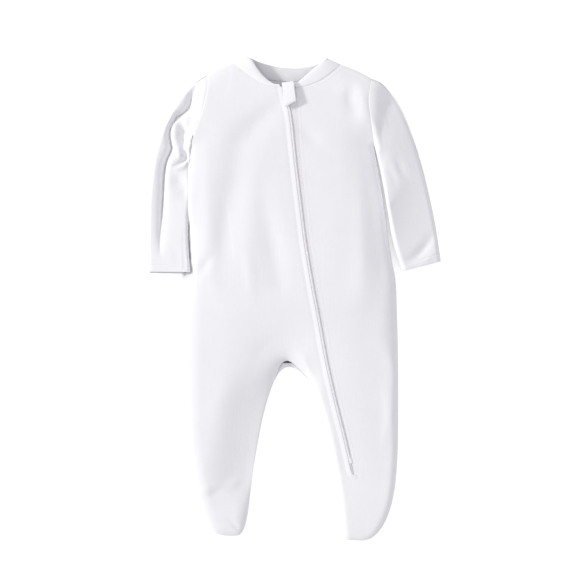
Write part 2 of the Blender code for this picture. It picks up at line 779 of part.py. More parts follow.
def neckband():
    """The doubled strip round the neck, sewn to the front on each side and to the back."""
    seams = {"front_left": neck_left, "front_right": neck_right, "back": neck_back}
    rows = []
    for name, share, x, y, z, roll in NECKBAND:
        place = along(seams[name], [share])[0]
        edge = np.array([x, y])
        inward = (edge - place) / np.linalg.norm(edge - place)
        place = place + (BAND_FOLD_GAP if share in (0.0, 1.0) else BAND_GAP) * inward
        height = front_height(place) if name != "back" else back_height(place)
        if share in (0.0, 1.0):
            height = SEAM_Z
        seam = np.array([*place, height])
        free = np.array([*edge, z])
        back_in = np.array([*(-inward), 0.0])
        crown = np.array([0, 0, 1.0 if name != "back" else -0.2])
        rows.append(
            [
                seam,
                seam + (free - seam) * 0.35 + crown,
                seam + (free - seam) * 0.75 + crown,
                free,
                free + 0.8 * back_in + (0, 0, 0.5 * roll),
                free + 2.0 * back_in + (0, 0, roll),
            ]
        )
    grid = np.array(rows)
    return wall(Sheet().add(grid[:, ::-1]), BAND_CLOTH)


def zip_rows():
    """Levels along the zip, the same ones as the slit's edges have."""
    start = NECK_LEFT[-1][1] - ZIP_NECK_DROP
    y = np.concatenate([start + (UNDERARM_Y - start) * yoke_shares, torso_levels(CROTCH_Y)[1:]])
    leg = leg_levels(CROTCH_Y, ZIP_END_Y, TOE_RIGHT_Y)
    return np.concatenate([y, leg[1 : SHIN_ROWS + len(ARCH_STEPS) - 1]])


def left_tape(y):
    """Sides of the tape that lies under the lap."""
    return slit_edges(y)[0] - LAP_WIDTH + TAPE_INSET, x_at(zip_line, y) + GAP_HALF - SEAM_GAP


def coil(y):
    """Sides of the chain."""
    first = x_at(zip_line, y) + GAP_HALF
    return first, first + COIL_WIDTH


def right_tape(y):
    """Sides of the tape beyond the chain, which runs on under the folded edge."""
    return coil(y)[1] + SEAM_GAP, slit_edges(y)[1] + TAPE_UNDER


def zip_strip(sides, drop, thickness, stop):
    """A strip along the zip between two sides, drop below the face of the front."""
    y = zip_rows()
    y = np.append(y[y > stop + 4], stop)
    first, last = sides(y)
    x = first[:, None] + (last - first)[:, None] * np.array([0.0, 0.5, 1.0])
    grid = raised(np.stack([x, np.broadcast_to(y[:, None], x.shape)], axis=-1), front_height)
    grid[..., 2] -= drop
    return wall(Sheet().add(grid), thickness)


def collection(name, hidden=False):
    made = bpy.data.collections.new(name)
    made.hide_render = hidden
    bpy.context.scene.collection.children.link(made)
    return made


def block(name, centre, size, turn, bevel, home):
    """A rounded block, turned in plan about its centre."""
    bpy.ops.mesh.primitive_cube_add(size=1)
    made = bpy.context.object
    made.name = made.data.name = name
    made.data.transform(Matrix.Diagonal((*(np.array(size) * MM), 1.0)))
    made.location = Vector(centre) * MM
    made.rotation_euler.z = turn
    rounding = made.modifiers.new("rounded edges", "BEVEL")
    rounding.width = bevel * MM
    rounding.segments = 2
    for old in list(made.users_collection):
        old.objects.unlink(made)
    home.objects.link(made)
    return made


def zip_place(y, offset):
    """A place beside the zip's gap, on the face of the front, and the turn of the zip there."""
    x = float(x_at(zip_line, y)) + offset
    run = x_at(zip_line, y + 4.0) - x_at(zip_line, y - 4.0)
    height = float(front_height(np.array([x, y])))
    return x, y, height, -np.arctan2(float(run), 8.0)


def slider(parts, guides, metal):
    """The closed slider on the chain, with its pull lying below it."""
    x, y, height, turn = zip_place(SLIDER_Y, GAP_HALF + 0.5 * COIL_WIDTH + SLIDER_SHIFT)
    base = height - CHAIN_DROP + SLIDER_RAISE
    body = block("zip_slider", (x, y, base + 0.5 * SLIDER_SIZE[2]), SLIDER_SIZE, turn, 0.6, parts)
    pull_y = y - 0.5 * (SLIDER_SIZE[1] + PULL_SIZE[1]) + PULL_OVERLAP
    pull_x = float(x_at(zip_line, pull_y)) + GAP_HALF + 0.5 * COIL_WIDTH + SLIDER_SHIFT
    pull = block("pull", (pull_x, pull_y, base + PULL_RAISE), PULL_SIZE, turn, 0.25, guides)
    pull.hide_render = True
    pull.display_type = "WIRE"
    joined = body.modifiers.new("pull", "BOOLEAN")
    joined.operation = "UNION"
    joined.solver = "EXACT"
    joined.object = pull
    body.data.materials.append(metal)


def guard():
    """The cloth tab over the slider: up from inside the neck, over, and folded back under at its end."""
    left, right = np.array(GUARD_LEFT), np.array(GUARD_RIGHT)
    rows = []
    for share, z in GUARD_PROFILE:
        start, end = left[0] + (left[1] - left[0]) * share, right[0] + (right[1] - right[0]) * share
        rows.append([(*start, z), (*(0.5 * (start + end)), z + GUARD_CROWN), (*end, z)])
    return wall(Sheet().add(np.array(rows)), GUARD_CLOTH)


def build():
    for old in list(bpy.data.objects):
        bpy.data.objects.remove(old)
    parts = collection(NAME)
    guides = collection("guides", hidden=True)
    cotton = material("white_cotton", WHITE_COTTON, 0.9)
    band = material("white_cotton_band", WHITE_COTTON, 0.9)
    tape = material("zip_tape", WHITE_TAPE, 0.85)
    nylon = material("zip_nylon", WHITE_NYLON, 0.45)
    metal = material("zip_paint", WHITE_NYLON, 0.35)

    node("front", front(), cotton)
    node("back", back(), cotton)
    node("sleeve_left", sleeve(OUTER_LEFT, INNER_LEFT, ARMHOLE_LEFT, True), cotton)
    node("sleeve_right", sleeve(OUTER_RIGHT, INNER_RIGHT, ARMHOLE_RIGHT, False), cotton)
    node("neckband", neckband(), band)
    node("zip_guard", guard(), cotton)

    node("zip_tape_left", zip_strip(left_tape, TAPE_DROP, TAPE_THICK, TAPE_END_Y), tape)
    node("zip_tape_right", zip_strip(right_tape, TAPE_DROP, TAPE_THICK, TAPE_END_Y), tape)
    node("zip_coil", zip_strip(coil, CHAIN_DROP, COIL_HEIGHT, CHAIN_END_Y), nylon)
    slider(parts, guides, metal)
    x, y, height, turn = zip_place(STOP_Y, GAP_HALF + 0.5 * COIL_WIDTH)
    stop = block("zip_bottom_stop", (x, y, height - 0.5 * STOP_SIZE[2] + 0.1), STOP_SIZE, turn, 0.4, parts)
    stop.data.materials.append(nylon)


build()
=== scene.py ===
"""Looks of a footed baby sleepsuit: white cotton jersey, lying on its back on a pale surface.

The tables are in millimetres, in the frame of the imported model: +Z up, the neck towards +Y, the toes
towards -Y. Each panel is a thin wall of cloth with its seams, hems and folds in the mesh, and the knit in
the material.
"""

import bmesh
import bpy
import numpy as np
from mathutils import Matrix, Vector


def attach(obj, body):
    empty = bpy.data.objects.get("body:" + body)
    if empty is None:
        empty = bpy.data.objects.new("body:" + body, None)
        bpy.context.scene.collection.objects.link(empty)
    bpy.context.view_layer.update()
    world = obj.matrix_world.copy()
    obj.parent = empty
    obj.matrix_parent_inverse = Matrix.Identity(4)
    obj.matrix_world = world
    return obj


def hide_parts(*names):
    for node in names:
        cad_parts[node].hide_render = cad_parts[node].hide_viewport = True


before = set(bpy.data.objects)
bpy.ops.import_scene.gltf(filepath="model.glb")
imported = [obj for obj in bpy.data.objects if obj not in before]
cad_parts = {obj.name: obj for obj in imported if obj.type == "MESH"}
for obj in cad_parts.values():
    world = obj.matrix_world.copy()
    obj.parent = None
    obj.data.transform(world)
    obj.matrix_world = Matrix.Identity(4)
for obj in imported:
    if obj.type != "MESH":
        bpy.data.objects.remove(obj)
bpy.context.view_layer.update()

MM = 0.001

# Thickness of the jersey and of the doubled neckband, and the gap at each seam
CLOTH = 1.3
BAND_CLOTH = 1.9
SEAM_GAP = 0.3
# Height of the side seams, and how far the front and the back stand off them at their edges
SEAM_Z = 7.0
LIP = 1.2
# How far the seam climbs at the crotch, and within what distance
CROTCH_RAISE = 3.0
CROTCH_REACH = 26.0
# The front rises from its edge by a round, which is this part of the rise, and by a long soft slope
SIDE_PART = 0.82
MIDDLE_REACH = 70.0
# Edges within this distance of each other share one slope
EDGE_BLEND = 11.0
# Distance from the edge over which the back turns up to the seam
TURN_BACK = 13.0
# Distances from the edge over which folds grow to their full depth
FOLD_FADE = 9.0
PRESSED_FADE = 3.0
SLEEVE_FOLD_FADE = 5.0
BACK_FOLD_FADE = 30.0
# How the front and the back sink into the seams of the neck and the armholes
SEAM_DIP = 0.35
LEFT_ARMHOLE_DIP = 0.75
SLEEVE_DIP = 0.3
SEAM_DIP_WIDTH = 0.9

# Parts of the body with a form of their own. A fade is the place where it starts and its length, which is
# below zero where it runs towards -X or -Y.
# the side beside the sleeve at +X: a plain slope with a narrow round
SLOPED_X = (50.0, 30.0)
SLOPED_ABOVE = (-60.0, 110.0)
SLOPED_BELOW = (232.0, -30.0)
SLOPED_PART = 0.36
SLOPED_REACH = 30.0
# the leg at +X: edges with a narrow round
NARROW_X = (-5.0, 25.0)
NARROW_BELOW = (-38.0, -44.0)
NARROW_TURN = 9.0
# the leg at -X: leaning down to its inner side
LEG_LEAN = 11.5
LEG_LEAN_WIDTH = 58.0
LEG_BELOW = (-62.0, -60.0)
LEG_ABOVE = (-250.0, 50.0)
LEG_BESIDE = (60.0, -40.0)
# the hip and the leg at +X: leaning down to their outer side
HIP_LEAN = 2.6
HIP_LEAN_WIDTH = 70.0
HIP_BELOW = (20.0, -60.0)
HIP_ABOVE = (-230.0, 40.0)

# Height of the outer fold of the sleeve at -X and of the one at +X, and of the sleeve head at +X
SLEEVE_FOLD_Z = 6.5
LOW_FOLD_Z = 2.2
HEAD_Z = 19.5
# A sleeve takes up the body's height at the armhole over this part of its length, or this width
SLEEVE_JOIN = 0.14
SLEEVE_JOIN_WIDTH = 9.0
HEAD_JOIN = 0.5
# Air between the two layers of a sleeve, and how softly each layer gives way to what it lies on
LAYER_GAP = 0.6
LAYER_BLEND = 0.8
LIFT_BLEND = 0.6
# Distances from a fold of a sleeve over which its joint to the body, its hem, the dip at its seam and the
# lower layer's edge fade in
JOINT_FADE = 1.5
HEM_FADE = 1.5
DIP_FADE = 3.0
UNDER_FADE = 2.5
# How far a sleeve stands off the armhole line
SLEEVE_SHIFT = 0.05
# How far the sleeve at -X is pushed into the side of the body under the arm, and where
PUSHED_IN = 0.7
PUSHED_BELOW = (170.0, -14.0)
PUSHED_ABOVE = (88.0, 14.0)
# How far the lower layer of the cuff at -X shows past the upper one, along it and at its inner corner, and
# the fades from that corner and from the cuff
UNDER_SHOWS = 1.2
UNDER_CORNER = 4.5
UNDER_FROM_CORNER = (10.0, -8.0)
UNDER_FROM_CUFF = (8.0, -8.0)
# Neckband: how far its seam lies under the front and is tucked in, its bulge at the shoulder at -X, how much
# less its edge turns in at the shoulders, and the level above which its inner side stays within its outline
BAND_SINK = 0.15
BAND_TUCK = 0.2
CORNER_BULGE = 4.4
BULGE_WIDTH = 9.0
PINCH = 0.9
PINCH_WIDTH = 4.0
PEAK_Y = 266.0

# Levels down the body
UNDERARM_Y = 173.0
CROTCH_X = -8.5
CROTCH_Y = -70.5
BACK_CROTCH_X = -5.5
BACK_CROTCH_Y = -77.5
ZIP_END_Y = -200.0
TOE_LEFT_Y = -270.8
TOE_RIGHT_Y = -276.2
# How the crown of the body falls off down its length: y, height of the front, width of its rounded side
BODY_CROWN = (
    (262.0, 13.0, 14.0),
    (236.0, 19.5, 18.0),
    (205.0, 21.8, 20.0),
    (180.0, 22.8, 22.0),
    (90.0, 26.0, 25.0),
    (-10.0, 28.0, 26.0),
    (-80.0, 26.0, 24.0),
    (-140.0, 23.0, 20.0),
    (-210.0, 20.0, 17.0),
    (-250.0, 17.0, 14.0),
    (-276.0, 14.0, 11.0),
)

# Side of the body and leg at -X, from the underarm down: x, y
SIDE_LEFT = (
    (-119.5, 173.0),
    (-120.6, 147.0),
    (-121.0, 113.0),
    (-122.5, 90.0),
    (-125.0, 62.0),
    (-128.5, 31.0),
    (-130.5, -20.0),
    (-130.5, -70.0),
    (-128.3, -115.0),
    (-126.0, -150.0),
    (-120.5, -190.0),
    (-111.0, -228.0),
    (-103.0, -251.0),
    (-93.0, -265.5),
    (-84.5, -270.0),
    (-78.0, -270.8),
)
INSEAM_LEFT = (
    (-8.5, -70.5),
    (-12.5, -71.8),
    (-16.8, -77.5),
    (-22.2, -91.0),
    (-29.0, -110.0),
    (-36.0, -135.0),
    (-43.5, -173.0),
    (-48.5, -205.0),
    (-53.0, -243.0),
    (-57.0, -261.0),
    (-62.0, -269.0),
    (-68.0, -270.8),
)
INSEAM_RIGHT = (
    (-8.5, -70.5),
    (-4.5, -71.8),
    (2.5, -77.5),
    (14.5, -91.0),
    (21.5, -108.0),
    (30.0, -134.0),
    (39.5, -172.0),
    (47.0, -210.0),
    (52.5, -250.0),
    (54.5, -266.5),
    (57.5, -273.5),
    (62.5, -276.2),
)
SIDE_RIGHT = (
    (91.5, 173.0),
    (98.0, 136.0),
    (103.5, 101.0),
    (107.5, 67.0),
    (112.0, 40.0),
    (115.6, 20.0),
    (117.0, -10.0),
    (118.3, -60.0),
    (118.6, -120.0),
    (118.0, -175.0),
    (114.5, -218.0),
    (107.5, -246.0),
    (98.0, -264.0),
    (88.5, -273.0),
    (79.0, -276.2),
)
# The back shows below the front at the crotch: its own arch, down to where both run together
BACK_ARCH_LEFT = (
    (-5.5, -77.5),
    (-11.5, -79.0),
    (-17.5, -84.5),
    (-23.0, -93.5),
)
BACK_ARCH_RIGHT = (
    (-5.5, -77.5),
    (-0.5, -79.0),
    (6.5, -84.0),
    (16.0, -94.0),
)

# Shoulders, from the neck out to the sleeve
SHOULDER_LEFT = ((-71.0, 269.5), (-86.0, 263.5), (-101.0, 255.3))
SHOULDER_RIGHT = ((53.5, 268.0), (71.0, 261.0), (88.3, 251.8))
ARMHOLE_LEFT = ((-101.0, 255.3), (-99.6, 243.0), (-103.7, 220.0), (-112.4, 196.0), (-119.5, 173.0))
ARMHOLE_RIGHT = ((88.3, 251.8), (85.8, 240.0), (84.4, 226.0), (86.6, 205.0), (91.5, 173.0))

# Neck seam of the front, each side from the shoulder to the zip, and of the back
NECK_LEFT = ((-71.0, 269.5), (-54.0, 257.0), (-36.5, 246.0), (-24.0, 242.3), (-15.2, 241.6))
NECK_RIGHT = ((0.8, 240.6), (8.0, 241.2), (17.0, 243.8), (30.0, 249.2), (42.0, 257.6), (53.5, 268.0))
NECK_BACK = ((-71.0, 269.5), (-48.0, 257.0), (-22.0, 250.5), (3.0, 250.0), (29.0, 255.0), (53.5, 268.0))
# Line of the open dark gap of the zip, down the front: x, y
ZIP_LINE = (
    (-13.6, 243.0),
    (-10.6, 226.0),
    (-6.5, 213.0),
    (-3.4, 190.0),
    (0.2, 155.0),
    (5.2, 113.0),
    (10.9, 67.0),
    (18.4, 21.0),
    (26.9, -24.0),
    (35.2, -69.5),
    (45.3, -115.0),
    (56.6, -160.0),
    (65.6, -200.0),
)
# Width of the slit beside the gap: y, distance from the gap to the folded edge of the right side
SLIT = (
    (243.0, 15.0),
    (226.0, 13.2),
    (213.0, 10.6),
    (190.0, 8.8),
    (110.0, 7.6),
    (20.0, 6.8),
    (-70.0, 5.8),
    (-160.0, 4.8),
    (-200.0, 4.4),
)

# The neckband, a row for each section, from the zip round the back to the zip again: the seam that it
# is sewn to and how far along it (0 to 1), its free edge (x, y, height) and the roll past that edge
NECKBAND = (
    ("front_left", 0.985, -17.0, 244.2, 17.6, -5.0),
    ("front_left", 0.87, -24.5, 246.0, 16.6, -4.6),
    ("front_left", 0.68, -33.5, 252.6, 15.6, -4.4),
    ("front_left", 0.40, -41.6, 261.8, 16.4, -4.0),
    ("front_left", 0.16, -47.4, 270.6, 17.2, -3.0),
    ("back", 0.0, -50.2, 274.6, 14.6, -1.6),
    ("back", 0.09, -45.5, 273.4, 7.2, 0.4),
    ("back", 0.25, -34.0, 269.2, 3.2, 1.0),
    ("back", 0.42, -16.0, 265.6, 2.0, 1.0),
    ("back", 0.58, 3.0, 264.8, 2.2, 1.0),
    ("back", 0.75, 20.0, 267.4, 3.4, 0.8),
    ("back", 0.92, 31.0, 271.6, 6.4, 0.4),
    ("back", 1.0, 36.6, 275.6, 9.8, -0.6),
    ("front_right", 0.86, 32.6, 271.6, 12.0, -2.4),
    ("front_right", 0.55, 21.5, 262.6, 13.0, -3.4),
    ("front_right", 0.28, 10.0, 252.6, 14.0, -4.4),
    ("front_right", 0.12, 4.8, 248.0, 15.0, -5.0),
    ("front_right", 0.01, 1.0, 245.2, 15.8, -5.4),
)

# Sleeves: fold lines and cuffs, from the shoulder and the underarm down: x, y
OUTER_LEFT = (
    (-101.0, 255.3),
    (-110.0, 250.0),
    (-123.5, 238.5),
    (-137.0, 220.0),
    (-149.0, 197.0),
    (-159.0, 170.0),
    (-164.5, 138.0),
    (-167.2, 105.0),
    (-168.0, 70.0),
    (-167.5, 31.0),
)
INNER_LEFT = (
    (-119.5, 173.0),
    (-121.8, 147.0),
    (-122.2, 113.0),
    (-121.6, 88.0),
    (-120.6, 60.0),
    (-118.6, 30.5),
)
OUTER_RIGHT = (
    (88.3, 251.8),
    (100.0, 246.3),
    (112.0, 233.5),
    (124.0, 214.5),
    (136.0, 184.5),
    (146.0, 152.5),
    (154.5, 118.0),
    (161.5, 84.0),
    (167.8, 43.0),
)
INNER_RIGHT = (
    (91.5, 173.0),
    (99.8, 136.0),
    (105.8, 101.0),
    (110.2, 74.0),
    (114.4, 56.0),
    (118.4, 44.0),
    (122.4, 31.5),
)
# Upper faces of the sleeves: part of the length, height at the outer and at the inner side, and how far in
# the outer and the inner edge are rounded
LEFT_CROWN = (
    (0.0, 13.0, 17.2, 5.0, 5.0),
    (0.14, 14.5, 18.0, 4.0, 3.0),
    (0.3, 15.5, 18.6, 4.0, 3.0),
    (0.5, 15.0, 19.2, 4.0, 3.0),
    (0.65, 14.6, 19.4, 4.0, 3.4),
    (1.0, 12.6, 18.0, 5.0, 4.0),
)
RIGHT_CROWN = (
    (0.0, 5.2, 18.5, 5.0, 5.0),
    (0.12, 5.2, 21.5, 5.0, 3.4),
    (0.25, 5.2, 24.2, 5.0, 2.6),
    (0.5, 5.8, 24.6, 5.0, 3.0),
    (0.72, 8.2, 20.5, 5.0, 5.0),
    (1.0, 9.6, 14.8, 5.0, 7.0),
)


# Zip: width of the lap, half of the gap beside it, width of the coil, and heights against the front's face
LAP_WIDTH = 5.4
GAP_HALF = 0.35
COIL_WIDTH = 2.4
CHAIN_RISE = 0.4
TAPE_DROP = 0.2
TAPE_THICK = 0.6
# How far the tape runs on under the folded edge, and past the gap once the chain has ended
TAPE_UNDER = 5.0
TAPE_PAST_CHAIN = COIL_WIDTH - 0.3
# Chain: how far it lies under the lap, and its teeth
CHAIN_UNDER = 0.4
TOOTH_PITCH = 1.25
TOOTH_LENGTH = COIL_WIDTH + 0.4
TOOTH_RADIUS = 0.52
TOOTH_TALL = 1.1
CHAIN_END_Y = -181.0
TAPE_END_Y = -200.6
ZIP_TOP_Y = 240.4
# Length of the round end of the slit, and the width over which the lap's rise gives way to the far side
SLIT_ROUND = 7.0
LAP_BLEND = 1.6

# Rise of the lap beside the slit: distance from its folded edge, rise
LAP_PROFILE = (
    (0.0, 0.36),
    (0.4, 0.74),
    (1.0, 0.82),
    (2.2, 0.60),
    (3.8, 0.24),
    (5.4, -0.14),
    (6.0, -0.26),
    (6.6, -0.16),
    (8.8, 0.0),
)

# Folds of the front: a line of points down each fold, with its width to the left and right and its rise
FRONT_FOLDS = (
    # the hollow from the zip below the neck, and the long trough below it
    ((-22.0, 218.0, 9.0, 12.0, -1.2), (-45.0, 198.0, 12.0, 16.0, -2.6), (-62.0, 181.0, 14.0, 16.0, -2.2),
     (-74.0, 160.0, 14.0, 16.0, -1.0)),
    ((-56.0, 176.0, 14.0, 18.0, -1.4), (-66.0, 140.0, 14.0, 18.0, -2.8), (-74.0, 100.0, 14.0, 18.0, -3.0),
     (-80.0, 62.0, 12.0, 16.0, -2.2), (-84.0, 30.0, 10.0, 12.0, -0.6)),
    # the trough beside it, and the low ridges at the side and between the troughs
    ((-37.0, 124.0, 10.0, 14.0, -0.8), (-31.0, 90.0, 12.0, 13.0, -1.8), (-24.0, 55.0, 12.0, 12.0, -2.2),
     (-18.0, 18.0, 10.0, 12.0, -1.2)),
    ((-100.0, 168.0, 9.0, 10.0, 0.6), (-98.0, 110.0, 10.0, 12.0, 1.4), (-94.0, 50.0, 10.0, 12.0, 1.2),
     (-92.0, 10.0, 10.0, 12.0, 0.6)),
    ((-54.0, 64.0, 8.0, 9.0, 0.5), (-51.0, 34.0, 8.0, 9.0, 1.3), (-48.0, 4.0, 8.0, 9.0, 0.6)),
    # chest at -X, leaning down to the zip
    ((-80.0, 214.0, 36.0, 52.0, 1.2), (-84.0, 190.0, 34.0, 56.0, 3.2), (-82.0, 155.0, 34.0, 56.0, 3.2),
     (-78.0, 122.0, 34.0, 52.0, 1.0)),
    # chest and shoulder at +X
    ((65.0, 242.0, 5.0, 5.0, -0.6), (63.5, 229.0, 6.0, 5.0, -1.9), (66.0, 212.0, 6.0, 6.0, -0.7)),
    ((50.0, 268.0, 5.0, 8.0, -1.2), (68.0, 261.0, 7.0, 8.0, -2.4), (86.0, 250.0, 7.0, 7.0, -1.6)),
    ((76.0, 238.0, 5.0, 6.0, 0.8), (79.0, 222.0, 5.0, 6.0, 1.6), (80.0, 206.0, 5.0, 6.0, 0.8)),
    ((6.0, 198.0, 8.0, 8.0, -0.6), (18.0, 184.0, 8.0, 9.0, -1.2), (32.0, 172.0, 8.0, 9.0, -0.5)),
    # below the cuff at -X
    ((-94.0, 50.0, 5.0, 6.0, -0.6), (-102.0, 38.0, 5.0, 6.0, -1.6), (-113.0, 24.0, 5.0, 6.0, -0.8)),
    # round the crotch
    ((-40.0, -78.0, 12.0, 12.0, -0.8), (-34.0, -62.0, 14.0, 14.0, -2.0), (-16.0, -50.0, 14.0, 12.0, -1.6),
     (6.0, -52.0, 12.0, 12.0, -0.8)),
    # foot at -X
    ((-112.0, -218.0, 5.0, 5.0, 0.4), (-100.0, -217.0, 5.0, 5.0, 0.9), (-90.0, -214.0, 5.0, 5.0, 0.3)),
    ((-76.0, -218.0, 5.0, 6.0, 0.4), (-69.0, -211.0, 5.0, 6.0, 0.9), (-62.0, -204.0, 5.0, 6.0, 0.3)),
    ((-98.0, -226.0, 5.0, 6.0, -0.3), (-90.0, -222.0, 5.0, 6.0, -0.9), (-80.0, -222.0, 5.0, 6.0, -0.3)),
    ((-76.0, -252.0, 2.5, 3.0, -0.4), (-68.0, -258.0, 2.5, 3.0, -1.0), (-64.0, -265.0, 2.5, 3.0, -0.5)),
    # inner and outer side of the leg at +X
    ((40.0, -158.0, 4.0, 4.0, 0.4), (46.0, -185.0, 4.0, 4.0, 1.0), (50.0, -214.0, 4.0, 4.0, 0.3)),
    ((104.0, -100.0, 5.0, 7.0, 0.4), (108.0, -130.0, 5.0, 7.0, 1.1), (103.0, -160.0, 5.0, 7.0, 0.4)),
)
# The side of the body pressed down by the cuff at -X
PRESSED_SIDE = (
    (-120.6, 103.0, 20.0, 0.8, -1.0),
    (-121.2, 86.0, 22.0, 1.6, -6.0),
    (-120.4, 62.0, 22.0, 1.8, -8.0),
    (-118.6, 45.0, 22.0, 1.8, -9.5),
    (-117.2, 32.0, 22.0, 1.8, -10.0),
    (-117.0, 22.0, 18.0, 2.0, -3.0),
)

# Creases of the sleeve at -X: sharp at their bottom
LEFT_SLEEVE_CREASES = (
    # the deep valley between the outer strip and the sleeve head, down to the cuff
    ((-112.0, 245.0, 3.4, 9.0, -3.0), (-117.0, 233.0, 3.4, 10.0, -6.5), (-120.5, 220.5, 3.4, 9.0, -8.5),
     (-127.0, 212.5, 3.4, 6.0, -9.5), (-134.5, 207.5, 3.2, 3.0, -9.5), (-141.0, 197.0, 3.0, 2.0, -10.0),
     (-142.5, 187.0, 3.0, 2.0, -10.5), (-141.0, 177.0, 3.4, 2.0, -11.5), (-140.5, 170.0, 3.8, 2.0, -12.5),
     (-146.5, 156.0, 3.6, 2.0, -12.5), (-149.0, 140.0, 3.4, 2.0, -12.5), (-150.0, 120.0, 3.4, 2.2, -11.5),
     (-151.5, 95.0, 3.4, 2.8, -9.0), (-153.5, 74.0, 3.4, 3.6, -5.0), (-153.5, 52.0, 3.4, 5.0, -1.0)),
    # seam along the underarm above the cuff, a double line
    ((-125.0, 84.0, 0.5, 0.5, -0.4), (-124.6, 60.0, 0.5, 0.5, -0.8), (-124.2, 34.0, 0.5, 0.5, -0.9)),
    ((-127.2, 80.0, 0.5, 0.5, -0.3), (-126.8, 60.0, 0.5, 0.5, -0.6), (-126.4, 34.0, 0.5, 0.5, -0.7)),
)
LEFT_SLEEVE_FOLDS = (
    # pocket under the sleeve head, falling away from the crest beside the valley and bending back at its end
    ((-134.5, 206.0, 4.0, 7.0, -2.0), (-128.5, 198.0, 6.5, 3.2, -5.0), (-124.5, 191.0, 8.0, 2.2, -7.0),
     (-126.5, 184.5, 6.5, 2.6, -6.5), (-123.5, 176.0, 6.0, 2.2, -6.5), (-120.8, 167.5, 5.0, 1.8, -6.5),
     (-121.5, 160.5, 4.2, 1.8, -6.0), (-129.0, 155.0, 3.2, 2.2, -4.0), (-137.0, 152.0, 2.6, 2.4, -1.5)),
    # blob beside the armhole and the knob beside the valley
    ((-123.2, 187.0, 2.0, 2.6, 1.4), (-121.6, 181.0, 2.0, 2.6, 1.6)),
    ((-132.5, 169.0, 3.2, 3.2, 1.6), (-131.0, 163.5, 3.2, 3.2, 1.8)),
    # strip below the bend and the soft hollow under it
    ((-142.0, 149.0, 3.0, 3.0, 0.8), (-131.0, 149.5, 3.0, 3.0, 2.0), (-121.0, 154.5, 2.6, 3.0, 2.4)),
    ((-138.0, 142.0, 8.0, 8.0, -1.6), (-131.0, 134.0, 10.0, 7.0, -3.2), (-125.0, 124.0, 9.0, 6.0, -2.0)),
    ((-137.0, 52.0, 5.0, 5.0, -0.4), (-132.0, 46.0, 5.0, 4.0, -0.8), (-126.0, 44.0, 4.0, 4.0, -0.5)),
)
RIGHT_SLEEVE_FOLDS = (
    # the hollow beside the armhole and the ridge in it
    ((94.0, 243.0, 4.0, 15.0, -0.6), (98.0, 232.0, 5.0, 15.0, -1.4), (102.0, 216.0, 5.0, 15.0, -0.6)),
    ((96.0, 231.0, 3.0, 4.0, 1.0), (99.0, 227.0, 3.0, 4.0, 1.8), (102.0, 222.0, 3.0, 4.0, 0.8)),
    # short creases along the arm
    ((117.0, 160.0, 4.0, 6.0, -0.5), (121.0, 148.0, 4.0, 6.0, -1.2), (128.0, 138.0, 5.0, 6.0, -0.4)),
    ((106.0, 152.0, 4.0, 5.0, -0.3), (111.0, 140.0, 4.0, 5.0, -0.8), (114.0, 128.0, 4.0, 5.0, -0.3)),
    # across the cuff
    ((158.0, 72.0, 6.0, 4.0, -0.8), (147.0, 56.0, 6.0, 4.0, -2.4), (134.0, 45.0, 6.0, 4.0, -1.4),
     (122.0, 42.0, 5.0, 3.0, -0.6)),
    ((163.0, 58.0, 4.0, 5.0, 0.2), (154.0, 47.0, 3.0, 5.0, 0.8), (144.0, 39.0, 3.0, 4.0, 0.4)),
)
BACK_FOLDS = (
    ((-60.0, 190.0, 9.0, 9.0, 0.5), (-20.0, 176.0, 9.0, 9.0, 0.9), (30.0, 184.0, 9.0, 9.0, 0.4)),
    ((-70.0, -20.0, 10.0, 8.0, 0.4), (-40.0, -42.0, 10.0, 8.0, 0.9), (-16.0, -66.0, 8.0, 8.0, 0.6)),
    ((50.0, -14.0, 10.0, 8.0, 0.4), (30.0, -40.0, 10.0, 8.0, 0.8), (8.0, -64.0, 8.0, 8.0, 0.6)),
)
# The sleeve at -X lies on the side of the body: how far out it is held up, how far clear, and where
LIFT_REACH = 22.0
LIFT_CLEAR = 0.5
LIFT_BELOW = (120.0, -40.0)
# The side seam under the arm at -X is drawn up, flush with the top: y, raise
SIDE_RAISE = (
    (200.0, 0.0),
    (188.0, 7.0),
    (174.0, 10.0),
    (158.0, 10.0),
    (110.0, 10.0),
    (90.0, 7.0),
    (74.0, 2.0),
    (58.0, 0.0),
)
SIDE_RAISE_REACH = 26.0

# Cuff hems: depth, rise of the doubled cloth and how soon it is reached, the ditch that the stitches pull in,
# and how the upper layer rounds off at the cuff's end
HEM_DEPTH = 9.0
HEM_RISE = 0.35
HEM_STEP = 0.8
STITCH_DITCH = 0.45
DITCH_WIDTH = 0.45
END_DROP = 0.45
END_WIDTH = 0.45

# Zip hardware: places down the zip, sizes across, along and up, and heights above the chain
STOP_Y = -183.5
STOP_RISE = 0.6
STOP_SIZE = (3.0, 7.2, 1.6)
SLIDER_Y = 229.0
PULL_Y = 223.0
SLIDER_ASIDE = 0.7
SLIDER_BLOCK = (4.4, 8.0, 1.2)
SLIDER_RISE = 0.7
BRIDGE_BLOCK = (1.6, 5.0, 2.4)
BRIDGE_RISE = 2.0
PULL_BLOCK = (3.4, 7.0, 0.9)
PULL_RISE = 1.9

# Stitching: pitch, length and radius of a stitch, and its distance from the edge that it runs beside
STITCH_PITCH = 2.6
STITCH_LENGTH = 2.0
STITCH_RADIUS = 0.22
LAP_ROW = -5.9
FAR_ROW = 2.5
NECK_ROW = -3.6

# Guard of the zip: its sides from the neck down: x, y
GUARD_CLOTH = 0.9
GUARD_CROWN = 0.3
GUARD_LEFT = ((-14.4, 245.6), (-11.2, 217.7))
GUARD_RIGHT = ((-1.2, 247.4), (1.8, 224.4))
